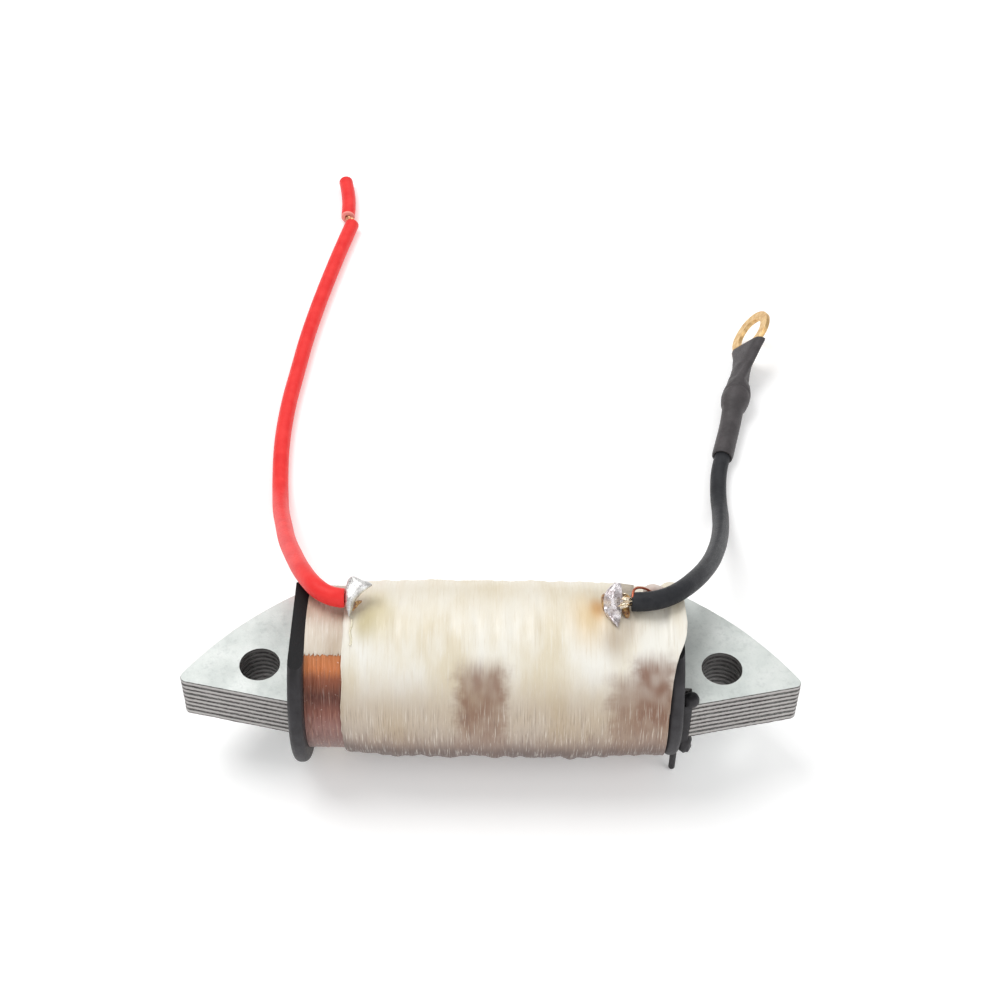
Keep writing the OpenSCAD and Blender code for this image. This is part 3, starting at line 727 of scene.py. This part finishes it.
# the sleeve's sections on the lead and on the terminal: place, half width, half height, skew, squareness
lead_sections = [(15, 1.36, 1.38), (16, 1.33, 1.36), (17, 1.33, 1.36)]
neck_sections = [
    (0, -18.0, 1.40, 1.42, 0, 1), (0, -17.2, 1.75, 1.75, 0, 1), (0.05, -16.0, 2.05, 2.0, 0, 1),
    (0.1, -14.4, 2.10, 1.95, 0, 1), (0.05, -12.9, 1.80, 1.60, 0, 1), (-0.30, -11.7, 1.70, 1.30, 0, 0.95),
    (-0.25, -10.0, 1.70, 1.0, -0.1, 0.9), (-0.1, -8.0, 1.90, 0.78, -0.2, 0.85),
    (-0.1, -5.6, 2.55, 0.62, -0.3, 0.75), (-0.25, -2.8, 3.55, 0.48, -0.4, 0.55)]


def bent(v, e):
    """A sine or cosine bent towards a square outline by a power below 1."""
    return copysign(abs(v) ** e, v)


def sleeve_mesh():
    """The shrunk sleeve: a loft through its sections, with folds that run towards the eye."""
    rows = [(*black_route[k], a, b, 0, 1) for k, a, b in lead_sections]
    rows = np.array(rows + [(*on_eye(x, y, 0), *rest) for x, y, *rest in neck_sections], float)
    fine = []
    for a, b in zip(rows, rows[1:]):
        for j in range(SLEEVE_STEPS):
            t = j / SLEEVE_STEPS
            fine.append(a * (1 - t) + b * t)
    fine.append(rows[-1])
    fine = np.array(fine)
    for _ in range(3):
        fine[1:-1] = 0.25 * fine[:-2] + 0.5 * fine[1:-1] + 0.25 * fine[2:]
    last = len(fine) - 1

    def ring(i, grow, folds):
        c, a, b, skew, square = fine[i][:3], *fine[i][3:]
        s = i / last
        flat = min(1.0, max(0.0, (s - 0.56) / 0.12))
        points = []
        for u in angles(SLEEVE_SIDES):
            fold = 0.36 * flat * exp(-((cos(u - 2.2 + 2.6 * s) - 1) / 0.12) ** 2)
            fold -= 0.26 * flat * exp(-((cos(u - 1.1 + 2.0 * s) - 1) / 0.10) ** 2)
            crumple = 0.08 * ripple(s * 14, cos(u) * 1.5, sin(u) * 1.5) * (0.4 + flat)
            # a pinch across the bulge, on its upper side
            arch = 0.44 + 0.09 * cos(u - 0.6)
            pinch = 0.45 * exp(-((s - arch) / 0.020) ** 2) * max(0.0, cos(u - 0.6) - 0.2)
            extra = grow + (folds * (fold + crumple - pinch) if folds else 0.0)
            x, z = bent(cos(u), square), bent(sin(u), square)
            points.append(c + x * ((a + extra) * wide_v + skew * along_v) + z * (b + extra) * face_v)
        return points

    outer = [ring(i, sleeve_wall - (0.08 if i in (0, last) else 0.0), 1.0) for i in range(last + 1)]
    inner = [ring(i, 0.02, 0.0) for i in range(last + 1)]
    verts, faces = looped_rings(outer + inner[::-1])
    for p in verts:
        p[2] = max(p[2], floor_z + 0.02)
    return verts, faces


sleeve = add_piece("shrunk_sleeve", *sleeve_mesh(), shrink, "heat_shrink", ["heat_shrink_sleeve"], sharp=60)
crimped = wear_only("crimp_strands", strands)


def eye_mesh():
    """The stamped eye and its neck, with rolled edges, and the rolled barrel behind them."""
    eye_r, bore, neck, thick, barrel_r = 4.38, 2.7, 1.45, 0.78, 1.6
    # the rim stops where the neck's sides meet it
    join = acos(-2.8 / eye_r)
    rim = [(eye_r * sin(a), eye_r * cos(a)) for a in np.linspace(-join, join, 90)]
    outer = rim + [(neck, -6.0), (neck, barrel_y + 2.8), (-neck, barrel_y + 2.8), (-neck, -6.0)]
    hole = [(bore * sin(a), bore * cos(a)) for a in np.linspace(0, 2 * pi, 64, endpoint=False)]
    levels = [(0.06, -0.5), (0.015, -0.44), (0.0, -0.35), (0.0, 0.35), (0.015, 0.44), (0.06, 0.5)]
    verts, faces, caps = [], [], ([], [])
    for loop, side in ((outer, -1.0), (hole, 1.0)):
        normals = loop_normals(loop, side)
        base = len(verts)
        for inset, share in levels:
            for p, n in zip(loop, normals):
                wear = 0.035 * ripple(p[0] * 0.9, p[1] * 0.9, 4.0)
                q = np.array(p) - n * (inset + abs(wear))
                warp = 0.05 * ripple(q[0] * 0.4, q[1] * 0.4, 2.0)
                verts.append(tuple(on_eye(q[0], q[1], share * thick + warp)))
        faces += grid_faces(len(levels), len(loop), base=base)
        caps[0].append(range(base, base + len(loop)))
        caps[1].append(range(len(verts) - len(loop), len(verts)))
    for corners in caps:
        faces += flat_cap((outer, hole), corners)
    barrel = wire([on_eye(0, barrel_y + along, 0) for along in (0, 1.5, 3.0)], barrel_r, 32)
    return join_parts([(verts, faces), barrel])


eye = add_piece("ring_eye", *eye_mesh(), brass, "brass_terminal", ["ring_terminal"], sharp=40)
run_length(black_path) * MM


# ---- floor and light ----
def make_stage():
    """A pale floor, a white world and four soft lights: name, place, size across and watts."""
    floor_mat = Graph("floor", Emission_Color=(1.0, 1.0, 1.0), Emission_Strength=0.20)
    half = 4.0
    corners = [(x, y, floor_z * MM) for x, y in ((-half, -half), (half, -half), (half, half), (-half, half))]
    mesh = bpy.data.meshes.new("floor")
    mesh.from_pydata(corners, [], [(0, 1, 2, 3)])
    mesh.materials.append(floor_mat.finish((0.93, 0.93, 0.93), 0.9))
    obj = put_in_scene("floor", mesh)
    world = bpy.data.worlds.new("studio")
    world.use_nodes = True
    sky = world.node_tree.nodes["Background"].inputs
    sky["Color"].default_value = (1.0, 1.0, 1.0, 1.0)
    sky["Strength"].default_value = 0.46
    bpy.context.scene.world = world
    aim = Vector((0, 0.03, 0))
    lights = (
        ("key", (-0.35, 0.25, 0.75), 0.55, 3.7),
        ("back", (0.12, 0.85, 0.75), 0.80, 1.7),
        ("fill", (0.55, -0.35, 0.60), 0.60, 2.0),
        ("front", (-0.10, -0.75, 0.35), 0.50, 0.8))
    for name, at, size, watts in lights:
        data = bpy.data.lights.new(name, "AREA")
        data.shape = "DISK"
        data.size = size
        data.energy = watts
        lamp = put_in_scene(name, data)
        lamp.rotation_euler = (aim - Vector(at)).to_track_quat("-Z", "Y").to_euler()
        lamp.location = at
    bpy.context.scene.view_settings.view_transform = "Standard"


make_stage()


# ---- core ----
def core_outline():
    """The lamination's outline in plan, from the right shoulder's front round to the left, and back."""
    step, tip_steps = 0.3, 10
    tip_y = -front_y + (tip_x - shoulder_x) * tan(front_slope)
    # the pole face is an arc about (0, pole_cy) through the tip and the shoulder's back
    pole_cy = (tip_x ** 2 - shoulder_x ** 2 + tip_y ** 2 - back_y ** 2) / (2 * (tip_y - back_y))
    pole_r = hypot(shoulder_x, back_y - pole_cy)
    edge_u = np.array((cos(front_slope), sin(front_slope)))
    edge_n = np.array((-sin(front_slope), cos(front_slope)))
    # the tip's round touches the front edge and the pole arc
    start = np.array((shoulder_x, -front_y)) + tip_r * edge_n - np.array((0, pole_cy))
    b = start @ edge_u
    c = start @ start - (pole_r - tip_r) ** 2
    tip_c = start + (-b + sqrt(b * b - c)) * edge_u + np.array((0, pole_cy))
    on_edge = tip_c - tip_r * edge_n
    bar_front, bar_back = axis_y - bar_w / 2, axis_y + bar_w / 2

    def line(p, q):
        n = max(1, int(norm(np.subtract(q, p)) / step))
        return [tuple(np.add(p, np.subtract(q, p) * k / n)) for k in range(n)]

    def arc(cx, cy, r, a0, a1, n):
        turns = [a0 + (a1 - a0) * k / n for k in range(n)]
        return [(cx + r * cos(a), cy + r * sin(a)) for a in turns]

    edge_a = atan2(*(on_edge - tip_c)[::-1])
    tip_a = atan2(tip_c[1] - pole_cy, tip_c[0])
    back_a = atan2(back_y - pole_cy, shoulder_x)
    right = line((shoulder_x, bar_front), (shoulder_x, -front_y)) + line((shoulder_x, -front_y), on_edge)
    right += arc(*tip_c, tip_r, edge_a, tip_a, tip_steps)
    right += arc(0.0, pole_cy, pole_r, tip_a, back_a, int((back_a - tip_a) * pole_r / step))
    right += line((shoulder_x, back_y), (shoulder_x, bar_back))
    right += line((shoulder_x, bar_back), (0.0, bar_back)) + [(0.0, bar_back)]
    bottom = line((0.0, bar_front), (shoulder_x, bar_front))
    left = [(-x, y) for x, y in right[::-1]][1:] + [(-x, y) for x, y in bottom[1:]][::-1]
    return right + left + bottom


def lamination_mesh(index, outline, holes):
    """One stamped sheet: rolled top edge, torn lower edge, and a slightly uneven cut."""
    z0 = index * lam_t
    slip = 0.045 * np.array((ripple(index * 1.7, 3.0), ripple(index * 2.3, 8.0)))
    # how far the edge stands back, at each share of the thickness
    levels = [(0.12, 0.0), (0.06, 0.06), (0.03, 0.16), (0.0, 0.42), (0.0, 0.72), (0.03, 0.90), (0.09, 1.0)]
    verts, faces, top_loops, low_loops = [], [], [], []
    for number, loop in enumerate([outline] + holes):
        pts = np.array(loop)
        normals = loop_normals(loop, 1.0 if number == 0 else -1.0)
        base = len(verts)
        soft, low = (0.7, 0.06) if number == 0 else (0.4, 0.0)
        for row, (inset, share) in enumerate(levels):
            torn = 0.055 if share < 0.3 else 0.03
            for p, n in zip(pts, normals):
                shift = 0.03 * ripple(p[0] * 0.25, p[1] * 0.25, index * 7.3)
                jag = torn * ripple(p[0] * 2.2, p[1] * 2.2, index * 3.1 + row * 0.6)
                q = p + slip - n * (inset * soft + low + shift + jag)
                verts.append((q[0], q[1], z0 + SHEET_GAP + share * (lam_t - 2 * SHEET_GAP)))
        faces += grid_faces(len(levels), len(loop), base=base)
        low_loops.append(range(base, base + len(loop)))
        top_loops.append(range(len(verts) - len(loop), len(verts)))
    for corners in (low_loops, top_loops):
        faces += flat_cap([[verts[k] for k in loop] for loop in corners], corners)
    return verts, faces


def hole_loop(x):
    return [(x + hole_r * cos(a), hole_r * sin(a)) for a in angles(HOLE_POINTS)]


outline = core_outline()
bolt_holes = [hole_loop(hole_x), hole_loop(-hole_x)]
for i in range(lam_count):
    add_piece(f"core_sheet_{i + 1}", *lamination_mesh(i, outline, bolt_holes), steel, "lamination_steel",
              [f"lamination_{i + 1}"], sharp=35)

# ---- bobbin ----
for node in ("bobbin_upper_half", "bobbin_lower_half"):
    obj = wear_only(node, nylon)
    rounding = obj.modifiers.new("edges", "BEVEL")
    rounding.width = 0.12 * MM
    rounding.segments = 2
    rounding.limit_method = "ANGLE"
    rounding.angle_limit = radians(40)


def lathe(profile, centre, sides, lump, seed):
    """A vertical turned shape from (radius, z) pairs, made a little uneven."""
    rings = []
    for r, z in profile:
        ring = []
        for a in angles(sides):
            rr = max(0.02, r * (1 + lump * ripple(2 * cos(a), 2 * sin(a), z * 1.4 + seed)))
            ring.append((centre[0] + rr * cos(a), centre[1] + rr * sin(a), z))
        rings.append(ring)
    return closed_rings(rings)


def block(lo, hi, cuts, lump, seed):
    """A box with rounded edges and an uneven skin, as rings up its height."""
    sides, squareness, end_inset = 32, 0.35, 0.12
    rings = []
    cx, cy = (lo[0] + hi[0]) / 2, (lo[1] + hi[1]) / 2
    a, b = (hi[0] - lo[0]) / 2, (hi[1] - lo[1]) / 2
    for i in range(cuts + 1):
        t = i / cuts
        z = lo[2] + (hi[2] - lo[2]) * t
        inset = end_inset if i in (0, cuts) else 0.0
        ring = []
        for u in angles(sides):
            x, y = bent(cos(u), squareness), bent(sin(u), squareness)
            d = 1 + lump * ripple(x * 2, y * 2, z + seed)
            ring.append((cx + x * (a - inset) * d, cy + y * (b - inset) * d, z))
        rings.append(ring)
    return closed_rings(rings)


# the key's shank, its head on the core, and the lump of nylon at its foot
key_x = right_out + 0.02
key_y = -front_y + 0.55
head_x = key_x + 1.05
key_parts = [
    block((key_x, key_y - 0.8, -1.2), (key_x + 1.16, key_y + 0.2, stack_h - 0.05), 26, 0.05, 2.0),
    lathe([(r, stack_h + up) for r, up in (
        (0.7, 0.0), (0.98, 0.08), (1.04, 0.35), (1.02, 0.8), (0.9, 1.15), (0.66, 1.4), (0.34, 1.56), (0.05, 1.62))],
          (head_x, key_y), 40, 0.06, 1.0),
    lathe([(0.1, -3.38), (0.5, -3.3), (0.76, -3.0), (0.89, -2.5), (0.84, -1.9), (0.88, -1.3), (0.8, -0.6),
           (0.4, -0.1)],
          (head_x - 0.15, key_y - 0.1), 36, 0.16, 4.0)]
add_piece("locking_key", *join_parts(key_parts), nylon, "black_nylon", ["bobbin_key"])


# ---- winding ----
def winding_mesh():
    """Turns of fine wire on the bare length, plain under the tape."""
    pitch, turns = 0.17, 220
    bare_to = tape_left + 0.4
    # a turn that rides up on its neighbours
    seam_x = -22.0
    bare = list(np.arange(left_in, bare_to, pitch / 5))
    stations = bare + list(np.linspace(tape_left + 1, right_in, 12))
    rng = random.Random(11)
    level = {n: rng.uniform(-0.035, 0.0) for n in range(-200, 60)}

    def radius(x, a):
        if x >= bare_to:
            return wind_r - 0.05
        wander = 0.07 * ripple(cos(a) * 1.3, sin(a) * 1.3, x * 0.5)
        at = (x + wander - left_in) / pitch
        crown = 0.05 * (sqrt(max(0.0, 1 - (2 * (at % 1.0) - 1) ** 2)) - 1)
        seam = 0.05 * exp(-((x + wander - seam_x) / 0.14) ** 2)
        return wind_r + (crown + level[int(at)] + seam)

    rings = [[about_axis(x, a, radius(x, a)) for a in angles(turns)] for x in stations]
    rings += [[about_axis(x, a, tube_corner_r) for a in angles(turns)] for x in (right_in, left_in)]
    return looped_rings(rings)


add_piece("wire_turns", *winding_mesh(), copper, "enamelled_copper", ["copper_winding"], sharp=80)


def inner_tape_mesh():
    """A thin wrap over the bare length, whose fibres end unevenly round the window."""
    columns = list(np.arange(left_in + 0.02, tape_left + 0.3, 0.09))
    rows = 150
    # it runs backwards from the window's upper edge to its lower one, in degrees
    stop, back = 121.0, 231.0 - 360.0

    def pair(i, j):
        x = columns[j]
        frayed = 2.2 * ripple(x * 5.5, 1.0) + 1.2 * ripple(x * 14, 2.0)
        top, low = stop + frayed, back - frayed
        turn = top + (low - top) * i / rows
        thin = 0.09 if i in (0, rows) else 0.0
        wave = 0.03 * ripple(x * 3.5, turn * 0.03) + 0.04 * ripple(x * 0.8, turn * 0.02, 4.0)
        return on_axis(x, turn, tape_in_r + 0.02 - thin + wave), on_axis(x, turn, wind_r + 0.01)

    return shell(rows + 1, len(columns), pair)


add_piece("inner_wrap", *inner_tape_mesh(), thin_tape, "fibre_tape", ["inner_tape_wrap"])


# ---- outer tape ----
# the loose right edge: degrees, x
flap_edge = [(24, 23.38), (36, 24.9), (48, 25.45), (62, 25.6), (82, 25.6), (97, 25.75), (106, 25.55),
             (112, 25.2), (119, 24.6), (126, 24.15), (136, 23.75), (149, 23.5), (162, 23.38)]


def tape_right_edge(turn):
    turns = [a for a, _ in flap_edge]
    if turn <= turns[0] or turn >= turns[-1]:
        return right_in - 0.02
    return float(np.interp(turn, turns, [x for _, x in flap_edge]))


def tape_radius(x, turn):
    """The outer tape's skin: slack below, with fibres round it, and feathered out at its left edge."""
    base = float(np.interp(x, [p[0] for p in tape_profile], [p[1] for p in tape_profile]))
    a = radians(turn)
    c, s = cos(a), sin(a)
    under = 1.0 + 1.1 * max(0.0, -s)
    wave = 0.17 * ripple(x * 0.36, c * 0.9, s * 0.9) + 0.16 * ripple(x * 0.8, c * 1.5 + 5, s * 1.5)
    fibre = 0.035 * ripple(x * 3.2, c * 1.6, s * 1.6) + 0.022 * ripple(x * 7.5, c * 3.0, s * 3.0 + 9)
    feather = 0.26 * exp(-(x - tape_left) / 0.45)
    # the loose edge rides over the flange's rim
    lift = 0.42 * min(1.0, max(0.0, (x - right_in + 0.5) / 0.7))
    return base + under * wave + fibre - feather - 0.02 + (lift if tape_right_edge(turn) > right_in else 0.0)


def outer_tape_mesh():
    """The outer wrap as one closed skin: outside, loose right edge, and the bore over the winding."""
    columns, around = 230, 250
    # under the flap, the end of the layers that lie on the winding
    end_x = right_in - 0.15
    rings = []
    turns = [360.0 * k / around for k in range(around)]

    def ring(place):
        points = []
        for turn in turns:
            x, r = place(turn)
            p = on_axis(x, turn, r)
            points.append((p[0], p[1], max(p[2], floor_z + 0.06)))
        rings.append(points)

    def left_edge(turn):
        c, s = cos(radians(turn)), sin(radians(turn))
        return tape_left + 0.30 * ripple(c * 2.5, s * 2.5, 3.0) + 0.10 * ripple(c * 9, s * 9, 1.0)

    ring(lambda t: (left_edge(t) + 0.1, tape_in_r + 0.03))
    ring(lambda t: (left_edge(t), max(tape_in_r + 0.05, tape_radius(tape_left, t) - 0.12)))
    for i in range(columns + 1):
        share = i / columns
        lift = -0.05 if i == 0 else 0.0
        ring(lambda t: (left_edge(t) + 0.04 + (tape_right_edge(t) - left_edge(t) - 0.04) * share,
                        tape_radius(tape_left + (tape_right_edge(t) - tape_left) * share, t) + lift))
    ring(lambda t: (tape_right_edge(t) + 0.03, tape_radius(tape_right_edge(t), t) - 0.12))
    ring(lambda t: (tape_right_edge(t) - 0.02, tape_radius(tape_right_edge(t), t) - 0.26))
    ring(lambda t: (end_x, tape_radius(end_x, t) - 0.28))
    ring(lambda t: (end_x, tape_in_r + 0.03))
    return looped_rings(rings)


add_piece("outer_wrap", *outer_tape_mesh(), tape, "fibre_tape", ["outer_tape_wrap"], sharp=70)


# ---- terminals ----
def blob(sections, sides, lump, grain, seed, across=(1.0, 0.0, 0.0)):
    """A closed loft through (x, y, z, half width, half height, squareness), made uneven by noise."""
    across, up = np.array(across), np.array((0.0, 0.0, 1.0))
    rings = []
    for row in smooth_run(sections, 6):
        c, a, b, e = row[:3], *row[3:]
        ring = []
        for u in angles(sides):
            x, z = bent(cos(u), e), bent(sin(u), e)
            p = c + x * max(a, 0.02) * across + z * max(b, 0.02) * up
            d = lump * ripple(*(p * grain + seed)) + 0.4 * lump * ripple(*(p * grain * 2.7 + seed))
            away = p - c
            ring.append(p + away / max(norm(away), 1e-6) * d * min(1.0, max(a, b)))
        rings.append(ring)
    return closed_rings(rings)


# the terminals lean back: up along their faces, and out from them
lean_up = np.array((0.0, 0.716, 0.698))
lean_out = np.array((0.0, -0.698, 0.716))


def leaning(end, x, up, out):
    """A point beside a lead's end, measured along the terminals' lean."""
    return np.array(end) + np.array((x, 0.0, 0.0)) + up * lean_up + out * lean_out


def leaning_rows(end, rows):
    """A blob's sections with their places measured by leaning()."""
    return [(*leaning(end, *row[:3]), *row[3:]) for row in rows]


def beside_rows(end, rows):
    """A blob's sections with their places measured from a lead's end."""
    return [(*np.add(end, row[:3]), *row[3:]) for row in rows]


def folded_tab(end, rows, bulge, thick, across, dents, seed):
    """A folded sheet from rows of (up, left, right, out), humped across and dented."""
    fine = smooth_run(rows, 3)

    def pair(i, j):
        up, left, right, out = fine[i]
        t = j / across
        x = left + (right - left) * t
        hump = bulge * (sin(pi * t) ** 0.8 - 0.35)
        dent = dents * ripple(x * 0.9 + seed, up * 0.8, seed)
        edge = 0.10 if j in (0, across) else 0.0
        face = out + hump + dent
        return leaning(end, x, up, face - edge), leaning(end, x, up, face - thick + edge)

    return shell(len(fine), across + 1, pair)


red_rows = [
    (2.80, 0.80, 1.20, -0.55), (2.40, 0.38, 2.20, -0.25), (2.03, 0.28, 3.25, 0.0), (1.70, 0.20, 3.60, 0.15),
    (1.24, 0.12, 3.0, 0.40), (0.78, 0.05, 2.4, 0.65), (0.32, 0.0, 1.95, 0.85), (-0.28, 0.03, 1.5, 0.95),
    (-0.80, 0.10, 1.3, 0.90), (-1.33, 0.25, 1.15, 0.80), (-1.86, 0.38, 1.0, 0.72), (-2.39, 0.52, 0.82, 0.66)]
add_piece("red_tab", *folded_tab(red_end, red_rows, 0.60, 0.55, 14, 0.16, 3.0), bright_tin, "tinned_tab",
          ["red_terminal_tab"])

rx, ry, rz = red_end
red_flux_sections = leaning_rows(red_end, [
    (2.2, -0.35, 0.0, 0.10, 0.10, 1.0), (1.9, -0.5, 0.1, 0.34, 0.28, 0.9), (1.6, -0.7, 0.2, 0.40, 0.32, 1.0),
    (1.3, -1.1, 0.3, 0.34, 0.30, 1.0), (1.1, -1.6, 0.35, 0.12, 0.12, 1.0)])
add_piece("red_flux", *blob(red_flux_sections, 28, 0.22, 2.4, 9.0), flux, "solder", ["red_solder_joint"])

red_stub = [np.array((rx + s, ry, rz)) for s in np.linspace(-0.3, 1.25, 8)]
add_piece("red_joint_wires", *strand_bundle(red_stub, 12, 0.10, 0.44, 6), bright_strands, "bare_copper",
          ["red_joint_strands"])

# the winding's start wire, down the tape from the terminal's foot
thread_x = rx + 0.95
thread = []
for k in range(13):
    turn = 97 + 1.5 * k
    lie_r = tape_radius(thread_x, turn) + 0.10
    thread.append(on_axis(thread_x + 0.12 * sin(k * 0.8), turn, lie_r + 0.06 * sin(k * 1.1)))
pale_wire = metal_material("pale_thread", (0.66, 0.60, 0.42), (0.86, 0.82, 0.66), 0.4, 0.01, 2.0, 0.0)
add_piece("start_thread", *wire(smooth_run(thread, 3), 0.13, 10), pale_wire, "fine_wire", ["start_wire"])

bx, by, bz = black_end
black_rows = [
    (2.45, -2.2, -1.5, 0.10), (1.90, -2.9, -1.35, 0.50), (1.15, -3.5, -1.3, 0.75), (0.40, -3.65, -1.2, 0.90),
    (-0.40, -3.7, -1.2, 0.95), (-1.05, -3.65, -1.3, 0.95), (-1.66, -3.45, -1.45, 0.95),
    (-2.2, -3.0, -1.5, 1.0), (-2.64, -2.6, -1.55, 1.05), (-3.3, -2.0, -1.75, 1.10)]
add_piece("black_tab_fold", *folded_tab(black_end, black_rows, 0.55, 0.70, 6, 0.75, 12.0), solder, "solder",
          ["black_solder_joint"], sharp=12)


def leaf_mesh():
    """The tab's flat leaf behind the strands, bent a little, and narrower towards the right."""
    rows, cols = 8, 12

    def pair(i, j):
        s, t = i / rows, j / cols
        x = bx - 2.2 + 2.6 * t
        y = by + 0.85 + 2.4 * s * (1 - 0.10 * t)
        z = bz + 0.20 * sin(s * 2.4) - 0.22 * t + 0.05 * ripple(s * 2, t * 2, 5.0)
        return (x, y, z), (x, y - 0.02, z - 0.3)

    return shell(rows + 1, cols + 1, pair)


leaf_material = metal_material("leaf", (0.36, 0.31, 0.25), (0.52, 0.46, 0.38), 0.45, 0.04, 1.1, 0.35)
add_piece("black_tab_leaf", *leaf_mesh(), leaf_material, "tinned_tab", ["black_terminal_tab"])


def joint_wires():
    """Loose tinned strands from the black lead's end into the fold."""
    rng = random.Random(21)
    parts = []
    for a in angles(15):
        r0 = 0.5 * sqrt(rng.random())
        start = np.array((bx + 0.3, by + r0 * cos(a), bz + r0 * sin(a)))
        middle = np.array((bx - 0.8, by + 0.75 * cos(a) + rng.uniform(-0.3, 0.4),
                           bz + 0.5 * sin(a) + rng.uniform(-0.1, 0.35)))
        end = np.array((bx - 2.0, by + 1.2 * cos(a) + rng.uniform(-0.4, 0.6), bz + 0.25 * sin(a)))
        parts.append(wire(smooth_run([start, middle, end], 6), 0.11, 8))
    return join_parts(parts)


add_piece("black_joint_wires", *joint_wires(), bright_strands, "bare_copper", ["black_joint_strands"])

black_flux_sections = beside_rows(black_end, [
    (-0.9, 0.6, -1.2, 0.2, 0.2, 1.0), (-0.9, 0.0, -1.15, 0.55, 0.5, 0.9), (-0.7, -0.8, -1.25, 0.5, 0.45, 1.0),
    (-0.6, -1.5, -1.4, 0.22, 0.2, 1.0)])
add_piece("black_flux", *blob(black_flux_sections, 24, 0.20, 2.2, 15.0), flux, "solder")
left_flux_sections = beside_rows(black_end, [
    (-3.5, 2.2, -1.0, 0.15, 0.15, 1.0), (-3.55, 1.6, -0.85, 0.34, 0.34, 0.9),
    (-3.6, 0.7, -0.85, 0.34, 0.40, 1.0), (-3.5, -0.3, -1.0, 0.26, 0.30, 1.0),
    (-3.1, -1.6, -1.35, 0.18, 0.2, 1.0)])
add_piece("black_flux_left", *blob(left_flux_sections, 24, 0.18, 2.2, 19.0), flux, "solder")

# the winding's finish wire, curled over the lead's end
curl = leaning_rows(black_end, [
    (0.05, 0.6, 0.95), (0.15, 1.35, 0.5), (0.5, 1.75, 0.05), (1.1, 1.85, -0.3), (1.8, 1.7, -0.8),
    (2.4, 1.4, -1.4), (3.0, 1.0, -2.2)])
add_piece("finish_curl", *wire(smooth_run(curl, 5), 0.17, 10), enamel, "fine_wire", ["finish_wire"])

pad_sections = leaning_rows(black_end, [
    (1.7, 1.35, -2.6, 0.3, 0.2, 1.0), (2.3, 1.55, -2.6, 0.6, 0.42, 0.8), (3.1, 1.60, -2.6, 0.7, 0.40, 0.8),
    (3.9, 1.45, -2.7, 0.7, 0.46, 0.9), (4.7, 1.20, -2.8, 0.4, 0.30, 0.9), (5.2, 1.0, -2.9, 0.15, 0.15, 1.0)])
pad_material = pvc_material("fibre_lump", (0.62, 0.50, 0.44), (0.80, 0.74, 0.68), 0.08, 0.6)
add_piece("fibre_scrap", *blob(pad_sections, 28, 0.16, 2.0, 23.0, across=(0.0, 1.0, 0.0)), pad_material,
          "fibre_tape", ["fibre_pad"])
